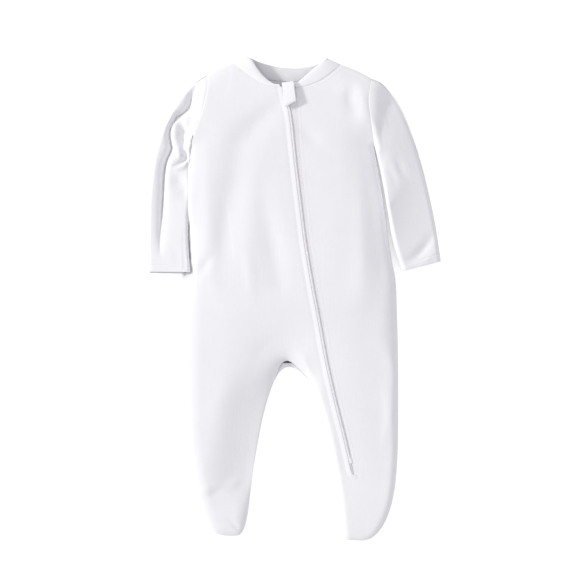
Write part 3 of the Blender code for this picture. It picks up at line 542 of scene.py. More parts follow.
# Side view of the guard: share of its length from the neck, height
GUARD_PROFILE = (
    (0.03, 14.0),
    (-0.02, 16.6),
    (-0.02, 19.4),
    (0.03, 21.4),
    (0.15, 23.2),
    (0.40, 25.4),
    (0.70, 26.9),
    (0.93, 27.6),
    (1.00, 26.6),
    (0.98, 25.0),
    (0.90, 24.3),
    (0.60, 23.9),
)


# ---- Lines and shares ----


def smooth_line(points, steps=12):
    """A dense line through the points, by Catmull-Rom spans."""
    points = np.array(points, float)
    ends = np.vstack([2 * points[0] - points[1], points, 2 * points[-1] - points[-2]])
    spans = []
    for i in range(len(points) - 1):
        a, b, c, d = ends[i : i + 4]
        t = np.linspace(0, 1, steps, endpoint=False)[:, None]
        bend = 2 * a - 5 * b + 4 * c - d
        twist = 3 * b - a - 3 * c + d
        spans.append(0.5 * (2 * b + (c - a) * t + bend * t**2 + twist * t**3))
    return np.vstack(spans + [points[-1:]])


def along(line, shares):
    """Points at the given shares of a line's length."""
    reach = np.concatenate([[0], np.cumsum(np.linalg.norm(np.diff(line, axis=0), axis=1))])
    at = np.asarray(shares) * reach[-1]
    return np.stack([np.interp(at, reach, line[:, k]) for k in range(line.shape[1])], axis=1)


def length_of(line):
    return np.linalg.norm(np.diff(line, axis=0), axis=1).sum()


def x_at(line, y):
    """Where a line that runs down the body crosses the level y."""
    order = np.argsort(line[:, 1])
    return np.interp(y, line[order, 1], line[order, 0])


def quarter(share):
    """A quarter round: 0 at the edge, upright there, and 1 from share 1 on."""
    return np.sqrt(1 - (1 - np.clip(share, 0, 1)) ** 2)


def soft_step(share):
    share = np.clip(share, 0, 1)
    return share * share * (3 - 2 * share)


def fade(value, start, length):
    """0 before the start and 1 past the length, which may run either way."""
    return soft_step((value - start) / length)


def soft_max(a, b, blend):
    """The higher of two heights, rounded where they cross."""
    return 0.5 * (a + b + np.sqrt((a - b) ** 2 + blend**2))


def beside(points, line):
    """For each point: its distance from a line in plan, its side (+1 right of it) and its place on it."""
    best = np.full(points.shape[:-1], np.inf)
    side = np.ones(points.shape[:-1])
    place = np.zeros(points.shape[:-1])
    for number, (a, b) in enumerate(zip(line[:-1], line[1:])):
        run = b - a
        share = np.clip(((points - a) @ run) / max(run @ run, 1e-9), 0, 1)
        offset = points - a - share[..., None] * run
        away = np.linalg.norm(offset, axis=-1)
        nearer = away < best
        best = np.where(nearer, away, best)
        side = np.where(nearer, np.sign(run[1] * offset[..., 0] - run[0] * offset[..., 1]), side)
        place = np.where(nearer, number + share, place)
    return best, side, place


def distance(points, line):
    return beside(points, line)[0]


def folds_at(points, folds, power=2.0):
    """The rise of all folds at each point. A fold's first width is on the side of -X as it runs down."""
    total = np.zeros(points.shape[:-1])
    flat = points.reshape(-1, 2)
    rise = total.reshape(-1)
    for rows in folds:
        table = smooth_line(rows, 6)
        reach = 3.2 * table[:, 2:4].max()
        low, high = table[:, :2].min(0) - reach, table[:, :2].max(0) + reach
        near = np.nonzero(((flat > low) & (flat < high)).all(-1))[0]
        if len(near) == 0:
            continue
        away, side, place = beside(flat[near], table[:, :2])
        steps = np.arange(len(table))
        left, right, height = (np.interp(place, steps, table[:, k]) for k in (2, 3, 4))
        width = np.where(side > 0, left, right)
        ends = length_of(table[:, :2]) / (len(table) - 1)
        over = np.maximum(0, np.maximum(0.001 - place, place - (len(table) - 1.001))) * ends
        rise[near] += height * np.exp(-((away / width) ** power) - over)
    return total


armhole_left = smooth_line(ARMHOLE_LEFT)
armhole_right = smooth_line(ARMHOLE_RIGHT)
side_left = smooth_line(SIDE_LEFT)
side_right = smooth_line(SIDE_RIGHT)
edge_left = np.vstack([armhole_left, side_left[1:]])
edge_right = np.vstack([armhole_right, side_right[1:]])
inseam_left = smooth_line(INSEAM_LEFT)
inseam_right = smooth_line(INSEAM_RIGHT)
shoulder_left = smooth_line(SHOULDER_LEFT)
shoulder_right = smooth_line(SHOULDER_RIGHT)
zip_line = smooth_line(ZIP_LINE)
neck_left = smooth_line(NECK_LEFT)
neck_right = smooth_line(NECK_RIGHT)
neck_back = smooth_line(NECK_BACK)
centre_line = smooth_line(((-36.5, 246.0), (-30.0, 173.0), (-16.0, 40.0), (CROTCH_X, CROTCH_Y)))
toe_left = np.array([SIDE_LEFT[-1], INSEAM_LEFT[-1]])
toe_right = np.array([SIDE_RIGHT[-1], INSEAM_RIGHT[-1]])


def from_arch(arch, inseam):
    """The back's inseam: its own arch at the crotch, then the shared line down the leg."""
    arch = smooth_line(arch)
    return np.vstack([arch, inseam[inseam[:, 1] < arch[-1, 1] - 4]])


back_inseam_left = from_arch(BACK_ARCH_LEFT, inseam_left)
back_inseam_right = from_arch(BACK_ARCH_RIGHT, inseam_right)
OUTSIDE_EDGES = (side_left, toe_left, toe_right, side_right, shoulder_left, shoulder_right)
FRONT_EDGES = OUTSIDE_EDGES + (inseam_left, inseam_right)
BACK_EDGES = OUTSIDE_EDGES + (back_inseam_left, back_inseam_right)


def nearest_edge(points, edges):
    return np.min([distance(points, edge) for edge in edges], axis=0)


def blended_edge(points, edges):
    """The same, rounded where two edges are as near as each other."""
    away = np.array([distance(points, edge) for edge in edges])
    least = away.min(axis=0)
    shared = np.log(np.exp((least - away) / EDGE_BLEND).sum(axis=0))
    return np.maximum(least - EDGE_BLEND * shared, 0)


def slit_width(y):
    """How far the far folded edge of the slit is from the zip's gap."""
    table = np.array(SLIT)[::-1]
    return np.interp(y, table[:, 0], table[:, 1])


def slit_edges(y):
    """The folded edges of the slit, left and right of the zip's gap, closing in a round end."""
    gap = x_at(zip_line, y)
    first, last = gap - GAP_HALF, gap + slit_width(y)
    middle = 0.5 * (first + last)
    open_share = np.sqrt(np.clip(1 - np.clip((ZIP_END_Y + SLIT_ROUND - y) / SLIT_ROUND, 0, 1) ** 2, 0, 1))
    return middle - (middle - first) * open_share, middle + (last - middle) * open_share


round_end = SLIT_ROUND * np.cos(np.linspace(0.3, np.pi / 2, 9))
slit_y = np.concatenate([np.arange(246.0, ZIP_END_Y + SLIT_ROUND, -4.0), ZIP_END_Y + round_end])
slit_left = np.stack([slit_edges(slit_y)[0], slit_y], axis=1)
slit_right = np.stack([slit_edges(slit_y)[1], slit_y], axis=1)


def crotch_raise(points):
    """The seam climbs onto the top of the suit round the crotch."""
    away = np.linalg.norm(points - (CROTCH_X, CROTCH_Y), axis=-1)
    return CROTCH_RAISE * soft_step(1 - away / CROTCH_REACH)


def seam_raise(points):
    """How far the seam between front and back is above SEAM_Z: at the crotch and under the arm at -X."""
    x, y = points[..., 0], points[..., 1]
    table = np.array(SIDE_RAISE)[::-1]
    inside = x - x_at(side_left, y)
    beside_arm = np.interp(y, table[:, 0], table[:, 1]) * (1 - soft_step(inside / SIDE_RAISE_REACH))
    return crotch_raise(points) + beside_arm


def plain_front(points):
    """Height of the front's outer face without the rise along the zip."""
    x, y = points[..., 0], points[..., 1]
    table = np.array(BODY_CROWN)[::-1]
    crown = np.interp(y, table[:, 0], table[:, 1])
    turn = np.interp(y, table[:, 0], table[:, 2])
    away = nearest_edge(points, FRONT_EDGES)
    start = SEAM_Z + LIP + seam_raise(points)
    # beside the sleeve at +X the side is a plain slope, and there and on that leg the round is narrow
    sloped = fade(x, *SLOPED_X) * fade(y, *SLOPED_ABOVE) * fade(y, *SLOPED_BELOW)
    narrow = fade(x, *NARROW_X) * fade(y, *NARROW_BELOW)
    turn = turn + (NARROW_TURN - turn) * np.maximum(sloped, narrow)
    rounded = SIDE_PART - SLOPED_PART * sloped
    slope = soft_step(blended_edge(points, FRONT_EDGES) / (MIDDLE_REACH - SLOPED_REACH * sloped))
    body = rounded * quarter(away / turn) + (1 - rounded) * slope
    # the leg at -X leans down to its inner side, and the hip and the leg at +X to their outer side
    from_inseam = x - x_at(inseam_left, y)
    leg = fade(y, *LEG_BELOW) * fade(y, *LEG_ABOVE) * fade(from_inseam, *LEG_BESIDE)
    crown = crown - LEG_LEAN * leg * soft_step(1 + from_inseam / LEG_LEAN_WIDTH)
    hip = fade(y, *HIP_BELOW) * fade(y, *HIP_ABOVE)
    crown = crown - HIP_LEAN * hip * np.clip((x - x_at(zip_line, y)) / HIP_LEAN_WIDTH, 0, 1)
    folds = folds_at(points, FRONT_FOLDS) * soft_step(away / FOLD_FADE)
    folds = folds + folds_at(points, (PRESSED_SIDE,)) * soft_step(away / PRESSED_FADE)
    return start + (crown - start) * body + folds


def zip_rise(points):
    """How the lap and its ditch stand above or below the front. The far side of the slit is plain."""
    table = np.array(LAP_PROFILE)
    near = distance(points, slit_left)
    far = distance(points, slit_right)
    return np.interp(near, table[:, 0], table[:, 1]) * soft_step(0.5 + 0.5 * (far - near) / LAP_BLEND)


def seam_dip(points):
    """The front sinks a little into the armhole and neck seams."""
    away = nearest_edge(points, (armhole_right, neck_left, neck_right))
    at_left = distance(points, armhole_left)
    dip = SEAM_DIP * np.exp(-((away / SEAM_DIP_WIDTH) ** 2))
    return -dip - LEFT_ARMHOLE_DIP * np.exp(-((at_left / SEAM_DIP_WIDTH) ** 2))


def front_height(points):
    return plain_front(points) + zip_rise(points) + seam_dip(points)


def back_height(points):
    """Height of the back's outer face: flat on the surface at 0 and rounded up at its edges."""
    away = nearest_edge(points, BACK_EDGES)
    raised_side = seam_raise(points) - crotch_raise(points)
    creases = folds_at(points, BACK_FOLDS) * soft_step(away / BACK_FOLD_FADE)
    return (SEAM_Z - LIP + raised_side) * (1 - quarter(away / TURN_BACK)) + creases


def turned_shares(reach, steps, fill, start=True, end=False):
    """Shares across a panel, close together where its edge turns under."""
    step = reach * (1 - np.cos(np.linspace(0, np.pi / 2, steps + 1)))
    first = step if start else np.array([0.0])
    last = 1 - step[::-1] if end else np.array([1.0])
    middle = np.linspace(first[-1], last[0], fill + 1)[1:-1]
    return np.concatenate([first, middle, last])


def coons(top, bottom, left, right, across, down):
    """A grid between four lines: rows run down from top to bottom, columns across from left to right."""
    u = across[None, :, None]
    v = down[:, None, None]
    upper = (1 - u) * top[0] + u * top[-1]
    lower = (1 - u) * bottom[0] + u * bottom[-1]
    corners = (1 - v) * upper + v * lower
    return (1 - v) * top[None] + v * bottom[None] + (1 - u) * left[:, None] + u * right[:, None] - corners


def strip(column_x, columns, top, levels):
    """Grid of a strip of a panel: column_x(number, y) places each column, and each starts at the top line."""
    rows = []
    order = np.argsort(top[:, 0])
    for number in range(columns):
        y = top[:, 1].mean()
        for _ in range(40):
            y = 0.5 * (y + np.interp(column_x(number, y), top[order, 0], top[order, 1]))
        ys = np.concatenate([y + (UNDERARM_Y - y) * YOKE_SHARES, levels[1:]])
        rows.append(np.stack([column_x(number, ys), ys], axis=1))
    return np.stack(rows, axis=1)


# ---- Cloth as a sheet of grids with a thickness ----


class Sheet:
    """A sheet gathered from grids of points, welded where the grids meet, and given a thickness inward."""

    def __init__(self):
        self.points = np.zeros((0, 3))
        self.faces = []

    def add(self, grid):
        rows, columns = grid.shape[:2]
        number = len(self.points) + np.arange(rows * columns).reshape(rows, columns)
        corners = np.stack([number[:-1, :-1], number[1:, :-1], number[1:, 1:], number[:-1, 1:]], axis=-1)
        self.points = np.vstack([self.points, grid.reshape(-1, 3)])
        self.faces.extend(map(tuple, corners.reshape(-1, 4)))
        return self

    def weld(self):
        """Joins points that lie together, and drops the faces that this closes."""
        _, first, index = np.unique(np.round(self.points, 2), axis=0, return_index=True, return_inverse=True)
        self.points = self.points[first]
        index = index.reshape(-1)
        joined = [tuple(dict.fromkeys(index[list(face)].tolist())) for face in self.faces]
        self.faces = [face for face in joined if len(face) > 2]
        return self

    def rim(self):
        """The edges that only one face uses, each in that face's own direction."""
        used = {(a, b) for face in self.faces for a, b in zip(face, face[1:] + face[:1])}
        return sorted((a, b) for a, b in used if (b, a) not in used)

    def carry(self, edges, sewn_to, level, steps):
        """Carries the sheet on in steps from the given edge lines to the seam, on another line at a level."""
        on_edge = nearest_edge(self.points[:, :2], edges) < 0.02
        rim = [(a, b) for a, b in self.rim() if on_edge[a] and on_edge[b]]
        ends = sorted({i for edge in rim for i in edge})
        plan = self.points[ends, :2]
        seam = plan.copy()
        best = np.full(len(plan), np.inf)
        for line in sewn_to:
            away, _, place = beside(plan, line)
            at = np.stack([np.interp(place, np.arange(len(line)), line[:, k]) for k in (0, 1)], axis=1)
            seam = np.where((away < best)[:, None], at, seam)
            best = np.minimum(best, away)
        goal = np.column_stack([seam, level + seam_raise(seam)])
        start = self.points[ends]
        before = {i: i for i in ends}
        for step in range(1, steps + 1):
            made = dict(zip(ends, range(len(self.points), len(self.points) + len(ends))))
            self.points = np.vstack([self.points, start + (goal - start) * step / steps])
            self.faces += [(before[b], before[a], made[a], made[b]) for a, b in rim]
            before = made
        return self

    def wall(self, thickness):
        """Points and faces of the sheet with its thickness added on the inner side. Cut edges are square."""
        points, faces = self.points, self.faces
        ring = np.array([face if len(face) == 4 else face + face[-1:] for face in faces])
        across = np.cross(points[ring[:, 2]] - points[ring[:, 0]], points[ring[:, 3]] - points[ring[:, 1]])
        across /= np.maximum(np.linalg.norm(across, axis=1), 1e-9)[:, None] ** 0.5
        normals = np.zeros_like(points)
        for corner in range(4):
            np.add.at(normals, ring[:, corner], across)
        rim = self.rim()
        run = np.zeros((len(points), 2))
        for a, b in rim:
            step = points[b, :2] - points[a, :2]
            run[[a, b]] += step / max(np.linalg.norm(step), 1e-9)
        size = np.linalg.norm(run, axis=1)
        turned = np.nonzero(size > 0.1)[0]
        side = np.column_stack([-run[turned, 1], run[turned, 0], np.zeros(len(turned))]) / size[turned, None]
        normals[turned] -= (normals[turned] * side).sum(1)[:, None] * side
        normals /= np.maximum(np.linalg.norm(normals, axis=1), 1e-9)[:, None]
        count = len(points)
        walls = faces + [tuple(i + count for i in face[::-1]) for face in faces]
        walls += [(b, a, a + count, b + count) for a, b in rim]
        inner = points - thickness * normals
        inner[:, 2] = np.maximum(inner[:, 2], 0.05)
        return np.vstack([points, inner]), walls


def raised(grid, height):
    return np.concatenate([grid, height(grid)[..., None]], axis=-1)


def piece(name, shape, surface):
    """A piece of the suit from points in millimetres and faces, riding on the suit's one body."""
    points, faces = shape
    mesh = bpy.data.meshes.new(name)
    corners = [tuple(p) for p in np.asarray(points) * MM]
    mesh.from_pydata(corners, [], [tuple(int(i) for i in face) for face in faces])
    mesh.validate()
    mesh.shade_smooth()
    mesh.materials.append(surface)
    made = bpy.data.objects.new(name, mesh)
    bpy.context.scene.collection.objects.link(made)
    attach(made, "root")
    return made


# ---- Panels ----

YOKE_SHARES = turned_shares(0.3, 8, 38)
# Columns beside the slit, from the lap's folded edge and from the far one, and where the plain columns stop
LAP_COLUMNS = (
    -9.4, -8.6, -7.8, -7.1, -6.5, -6.0, -5.5, -5.0, -4.4, -3.6, -2.8, -2.0, -1.3, -0.7, -0.25, 0.0
)
LAP_START = 10.4
FAR_COLUMNS = (0.0, 0.25, 0.6, 1.1, 1.7, 2.3, 3.0, 3.7, 4.4, 5.1, 5.8, 6.6, 7.6, 8.8)
FAR_START = 10.0


# Rows down the body lie closer together within these distances: above the crotch, above and below the end of
# the zip, and above the toe. Below the crotch they are given one by one.
ABOVE_CROTCH = 20.0
ABOVE_ZIP_END = 16.0
BELOW_ZIP_END = 12.0
ABOVE_TOE = 22.0
BELOW_CROTCH = (0.0, 0.5, 1.2, 2.2, 3.5, 5.0, 7.0, 9.0, 11.0, 13.5, 16.0)


def torso_levels(crotch_y):
    """Rows from the underarm to the crotch, closer together just above it."""
    near = ABOVE_CROTCH * (1 - np.cos(np.linspace(0, np.pi / 2, 9)))
    plain = np.linspace(UNDERARM_Y, crotch_y + near[-1], 104)
    return np.concatenate([plain[:-1], crotch_y + near[::-1]])


def leg_levels(crotch_y, toe):
    """Rows down a leg, closer together below the crotch, at the end of the zip and at the toe."""
    arch = crotch_y - np.array(BELOW_CROTCH)
    above = ZIP_END_Y + ABOVE_ZIP_END * (1 - np.sin(np.linspace(0, np.pi / 2, 22)))
    shin = np.linspace(arch[-1], above[0], 42)[1:-1]
    below = ZIP_END_Y - BELOW_ZIP_END * (1 - np.cos(np.linspace(0, np.pi / 2, 15)))[1:]
    foot = np.linspace(below[-1], toe + ABOVE_TOE, 18)[1:-1]
    end = toe + ABOVE_TOE * (1 - np.sin(np.linspace(0, np.pi / 2, 16)))
    return np.concatenate([arch, shin, above, below, foot, end])


def between(left, right, shares):
    """Columns at fixed shares of the way between two lines."""
    return lambda number, y: x_at(left, y) + (x_at(right, y) - x_at(left, y)) * shares[number]


# A folded edge carried under: how far back, how far down
FOLD_UNDER = ((0.0, -0.7), (0.15, -1.3), (0.7, -1.75), (1.8, -1.9), (4.2, -1.9))


def turned_under(edge, side):
    """The folded edge of the slit carried round and under: side is -1 for the lap and 1 for the far edge."""
    run = np.gradient(edge[:, :2], axis=0)
    run /= np.maximum(np.linalg.norm(run, axis=1), 1e-9)[:, None]
    inward = side * np.column_stack([-run[:, 1], run[:, 0]])
    inward[-1] = (0.0, -1.0)
    columns = [edge]
    for back, down in FOLD_UNDER:
        columns.append(edge + np.column_stack([inward * back, np.full(len(edge), down)]))
    grid = np.stack(columns, axis=1)
    return grid if side < 0 else grid[:, ::-1]


def front():
    sheet = Sheet()
    torso = torso_levels(CROTCH_Y)
    left_levels = np.concatenate([torso, leg_levels(CROTCH_Y, TOE_LEFT_Y)[1:]])
    right_leg = leg_levels(CROTCH_Y, TOE_RIGHT_Y)
    zip_end = int(np.argmin(abs(right_leg - ZIP_END_Y)))
    zip_levels = np.concatenate([torso, right_leg[1 : zip_end + 1]])

    neck_share = (NECK_LEFT[0][0] - ARMHOLE_LEFT[0][0]) / (centre_line[0, 0] - ARMHOLE_LEFT[0][0])
    shares = turned_shares(0.2, 9, 34, end=True)
    shares[np.argmin(abs(shares - neck_share))] = neck_share
    top = np.vstack([shoulder_left[::-1], neck_left])
    middle = np.vstack([centre_line, inseam_left[1:]])
    sheet.add(raised(strip(between(edge_left, middle, shares), len(shares), top, left_levels), front_height))

    inner = np.vstack([centre_line, inseam_right[1:]])
    inner_shares = turned_shares(0.5, 8, 14)

    def inner_x(number, y):
        start, end = x_at(inner, y), slit_edges(y)[0]
        if number < len(inner_shares):
            return start + (end - LAP_START - start) * inner_shares[number]
        return end + LAP_COLUMNS[number - len(inner_shares)]

    inner_columns = len(inner_shares) + len(LAP_COLUMNS)
    inner_grid = raised(strip(inner_x, inner_columns, neck_left, zip_levels), front_height)
    sheet.add(inner_grid)
    sheet.add(turned_under(inner_grid[:, -1], -1))

    top = np.vstack([neck_right, shoulder_right])
    first, last = slit_edges(NECK_RIGHT[-1][1])[1], ARMHOLE_RIGHT[0][0]
    right_shares = 1 - turned_shares(0.34, 9, 26)[::-1]
    neck_share = (NECK_RIGHT[-1][0] - first - FAR_START) / (last - first - FAR_START)
    right_shares[np.argmin(abs(right_shares - neck_share))] = neck_share

    def outer_x(number, y):
        start, end = slit_edges(y)[1], x_at(edge_right, y)
        if number < len(FAR_COLUMNS):
            return start + FAR_COLUMNS[number]
        return start + FAR_START + (end - start - FAR_START) * right_shares[number - len(FAR_COLUMNS)]

    outer_columns = len(FAR_COLUMNS) + len(right_shares)
    outer_grid = raised(strip(outer_x, outer_columns, top, zip_levels), front_height)
    sheet.add(outer_grid)
    sheet.add(turned_under(outer_grid[:, 0], 1))

    end_row = np.concatenate([inner_grid[-1, :, 0], outer_grid[-1, :, 0]])
    foot_shares = (end_row - end_row[0]) / (end_row[-1] - end_row[0])
    levels = right_leg[zip_end:, None]
    start, end = x_at(inseam_right, levels), x_at(edge_right, levels)
    foot_x = start + (end - start) * foot_shares
    foot = raised(np.stack([foot_x, np.broadcast_to(levels, foot_x.shape)], axis=-1), front_height)
    foot[0] = np.concatenate([inner_grid[-1], outer_grid[-1]])
    sheet.add(foot)
    sheet.weld().carry(FRONT_EDGES, FRONT_EDGES, SEAM_Z + 0.5 * SEAM_GAP, 2)
    return sheet.wall(CLOTH)


def back():
    sheet = Sheet()
    torso = torso_levels(BACK_CROTCH_Y)[::2]
    if torso[-1] != BACK_CROTCH_Y:
        torso = np.append(torso, BACK_CROTCH_Y)
    middle = smooth_line(((-10.0, 250.3), (-10.0, 173.0), (-8.0, 40.0), (BACK_CROTCH_X, BACK_CROTCH_Y)))
    top = np.vstack([shoulder_left[::-1], neck_back[1:], shoulder_right[1:]])
    for edge, inseam, toe, corner in (
        (edge_left, back_inseam_left, TOE_LEFT_Y, NECK_BACK[0][0]),
        (edge_right, back_inseam_right, TOE_RIGHT_Y, NECK_BACK[-1][0]),
    ):
        levels = np.concatenate([torso, leg_levels(BACK_CROTCH_Y, toe)[1:]])
        centre = np.vstack([middle, inseam[1:]])
        shares = turned_shares(0.16, 8, 22, end=True)
        if edge is edge_left:
            first, last, lines = edge[0, 0], centre[0, 0], (edge, centre)
        else:
            first, last, lines = centre[0, 0], edge[0, 0], (centre, edge)
        neck_share = (corner - first) / (last - first)
        shares[np.argmin(abs(shares - neck_share))] = neck_share
        sheet.add(raised(strip(between(*lines, shares), len(shares), top, levels), back_height)[:, ::-1])
    sheet.weld().carry(BACK_EDGES, FRONT_EDGES, SEAM_Z - 0.5 * SEAM_GAP, 2)
    return sheet.wall(CLOTH)


def side_lift(points):
    """Height of the side of the body under the sleeve at -X, falling off to the surface beside it."""
    side_x = x_at(side_left, points[..., 1])
    inside = points[..., 0] - side_x
    held = np.stack([np.maximum(points[..., 0], side_x), points[..., 1]], axis=-1)
    beside_it = soft_step(1 + np.minimum(inside, 0) / LIFT_REACH)
    return (plain_front(held) + LIFT_CLEAR) * beside_it * fade(points[..., 1], *LIFT_BELOW)


# Rows of a sleeve: distance from the armhole beside it, distance from the cuff over its hem, and between
# them a number of plain rows from a distance past the armhole to a distance above the cuff
SEAM_ROWS = (0.0, 0.35, 0.8, 1.4, 2.1, 3.0, 4.0, 5.2, 6.6, 8.2)
HEM_ROWS = (11.6, 10.6, 10.0, 9.6, 9.3, 9.0, 8.7, 8.4, 7.9, 7.0, 5.6, 4.0, 2.6, 1.5, 0.8, 0.3, 0.0)
PLAIN_ROWS = 122
PLAIN_FIRST = 9.8
PLAIN_LAST = 13.0


def sleeve(outer, inner, armhole, at_left):
    """A tube laid flat: the upper and the lower layer meet at the outer and the inner fold."""
    out = smooth_line(outer)
    inn = smooth_line(inner)
    hole = smooth_line(armhole)
    shift = SLEEVE_SHIFT if at_left else -SLEEVE_SHIFT
    hole = hole + (shift, 0)
    out = out + (shift, 0)
    if at_left:
        pushed = x_at(side_left, inn[:, 1]) + PUSHED_IN * fade(inn[:, 1], *PUSHED_BELOW)
        inn[:, 0] += (pushed - inn[:, 0]) * fade(inn[:, 1], *PUSHED_ABOVE)
    length = length_of(out)
    across = turned_shares(0.13, 8, 38, end=True)
    plain_rows = np.linspace(PLAIN_FIRST, length - PLAIN_LAST, PLAIN_ROWS)
    hem_rows = 1 - np.array(HEM_ROWS) / length
    down = np.concatenate([np.array(SEAM_ROWS) / length, plain_rows / length, hem_rows])
    if not at_left:
        hole = hole[::-1]
    first, last = (out, inn) if at_left else (inn, out)
    cuff = np.array([first[-1], last[-1]])
    first = along(first, down) + np.outer(1 - down, hole[0] - first[0])
    last = along(last, down) + np.outer(1 - down, hole[-1] - last[0])
    plan = coons(along(hole, across), along(cuff, across), first, last, across, down)
    from_outer, from_inner = distance(plan, first), distance(plan, last)
    inner_line = last
    if not at_left:
        from_outer, from_inner, inner_line = from_inner, from_outer, first
    away = np.minimum(from_outer, from_inner)
    inward = soft_step(from_outer / (from_outer + from_inner))

    table = np.array(LEFT_CROWN if at_left else RIGHT_CROWN)
    columns = [np.interp(down, table[:, 0], table[:, k])[:, None] for k in (1, 2, 3, 4)]
    outer_z, inner_z, outer_turn, inner_turn = columns
    inner_fold = SEAM_Z + seam_raise(inner_line)[:, None]
    lift = np.zeros(away.shape)
    if at_left:
        lift = side_lift(plan)
        inner_fold = np.maximum(inner_fold, side_lift(inner_line)[:, None] + CLOTH + SEAM_GAP)
    outer_fold = SLEEVE_FOLD_Z if at_left else LOW_FOLD_Z
    fold_z = outer_fold + (inner_fold - outer_fold) * inward
    crown = outer_z + (inner_z - outer_z) * from_outer / (from_outer + from_inner)
    from_seam = distance(plan, hole)
    if not at_left:
        head = outer_z[0] + (HEAD_Z - outer_z[0]) * from_outer / (from_outer + from_seam + 0.01)
        crown = head + (crown - head) * soft_step(down / HEAD_JOIN)[:, None]
    folds = folds_at(plan, LEFT_SLEEVE_FOLDS if at_left else RIGHT_SLEEVE_FOLDS)
    if at_left:
        folds = folds + folds_at(plan, LEFT_SLEEVE_CREASES, 1.0)
    folds = folds * soft_step(away / SLEEVE_FOLD_FADE)
    round_edges = quarter(from_outer / outer_turn) * quarter(from_inner / inner_turn)
    top = fold_z + (crown - fold_z) * round_edges + folds
    low = outer_fold * (1 - quarter(from_outer / TURN_BACK))
    low = low + inner_fold * (1 - quarter(from_inner / TURN_BACK))
    low = soft_max(low, lift, LIFT_BLEND)
    ends = soft_step(away[0] / JOINT_FADE)
    hole_z = SEAM_Z + seam_raise(plan[0])
    body_top = hole_z + (front_height(plan[0]) - hole_z) * ends
    body_low = hole_z + (back_height(plan[0]) - hole_z) * ends
    joined = soft_step(np.minimum(down[:, None] / SLEEVE_JOIN, from_seam / SLEEVE_JOIN_WIDTH))
    top = body_top + (top - body_top) * joined
    low = body_low + (low - body_low) * joined
    ditch = SLEEVE_DIP * (1 - np.exp(-((from_seam / SEAM_DIP_WIDTH) ** 2)))
    top = top + ditch * soft_step(away / DIP_FADE)
    from_cuff = (1 - down)[:, None] * length
    hem = HEM_RISE * soft_step((HEM_DEPTH - from_cuff) / HEM_STEP)
    hem = hem - STITCH_DITCH * np.exp(-(((from_cuff - HEM_DEPTH) / DITCH_WIDTH) ** 2))
    hem = hem - END_DROP * np.exp(-((from_cuff / END_WIDTH) ** 2))
    top = top + hem * soft_step(away / HEM_FADE)
    low = np.maximum(low, 0)
    top = soft_max(top, low + 2 * CLOTH + LAYER_GAP, LAYER_BLEND)
    fold = [0, -1]
    top[:, fold] = low[:, fold] = 0.5 * (top[:, fold] + low[:, fold])
    low_plan = plan.copy()
    if at_left:
        shows = UNDER_SHOWS + (UNDER_CORNER - UNDER_SHOWS) * fade(from_inner, *UNDER_FROM_CORNER)
        low_plan[..., 1] -= shows * fade(from_cuff, *UNDER_FROM_CUFF) * soft_step(away / UNDER_FADE)
    ring = np.concatenate([np.dstack([plan, top]), np.dstack([low_plan, low])[:, -2::-1]], axis=1)
    return Sheet().add(ring).weld().wall(CLOTH), (plan, top)


# Section of the neckband: part of the way from the seam to the free edge, part of the bulge
BAND_SECTION = ((0.10, 0.75), (0.40, 1.0), (0.78, 0.9))


def neckband():
    """The doubled strip round the neck, sewn to the front on each side and to the back."""
    seams = {"front_left": neck_left, "front_right": neck_right, "back": neck_back}
    loop = np.vstack([neck_left[::-1], neck_back[1:], neck_right[::-1][1:]])
    reach = np.concatenate([[0], np.cumsum(np.linalg.norm(np.diff(loop, axis=0), axis=1))])
    rows = []
    for name, share, x, y, z, roll in NECKBAND:
        place = along(seams[name], [share])[0]
        at = reach[np.argmin(np.linalg.norm(loop - place, axis=1))]
        rows.append((at, x, y, z, roll))
    rows = smooth_line(rows, 11)
    at = rows[:, 0]
    place = np.stack([np.interp(at, reach, loop[:, k]) for k in (0, 1)], axis=1)
    corner = (reach[len(neck_left) - 1], reach[len(neck_left) + len(neck_back) - 2])
    on_back = (at > corner[0]) & (at < corner[1])
    free = rows[:, 1:4]
    inward = free[:, :2] - place
    inward /= np.linalg.norm(inward, axis=1)[:, None]
    height = np.where(on_back, back_height(place), front_height(place) - BAND_SINK)
    for _ in range(6):
        height[1:-1] = 0.25 * height[:-2] + 0.5 * height[1:-1] + 0.25 * height[2:]
    seam = np.column_stack([place - BAND_TUCK * inward, height])
    crown = soft_step((abs(at - 0.5 * sum(corner)) / (0.5 * (corner[1] - corner[0])) - 0.8) / 0.5)
    at_shoulder = CORNER_BULGE * np.exp(-(((at - corner[0]) / BULGE_WIDTH) ** 2))
    up = np.column_stack([-0.4 * at_shoulder, at_shoulder, -0.2 + 1.6 * crown])
    pinch = 1 - PINCH * sum(np.exp(-(((at - end) / PINCH_WIDTH) ** 2)) for end in corner)
    back_in = np.column_stack([-inward * pinch[:, None], np.zeros(len(at))])
    drop = np.column_stack([np.zeros((len(at), 2)), rows[:, 4]])
    controls = [
        seam,
        *(seam + (free - seam) * share + swell * up for share, swell in BAND_SECTION),
        free,
        free + 0.8 * back_in + 0.5 * drop,
        free + 2.0 * back_in + drop,
    ]
    grid = np.stack([smooth_line(np.array(line), 5) for line in zip(*controls)])
    points, faces = Sheet().add(grid[:, ::-1]).weld().wall(BAND_CLOTH)
    outer, inner = np.split(points, 2)
    peak = outer[:, 1] > PEAK_Y
    inner[peak, 1] = np.minimum(inner[peak, 1], outer[peak, 1])
    return np.vstack([outer, inner]), faces


# ---- Zip ----


def zip_rows(start, stop, step):
    return np.arange(start, stop, -step)


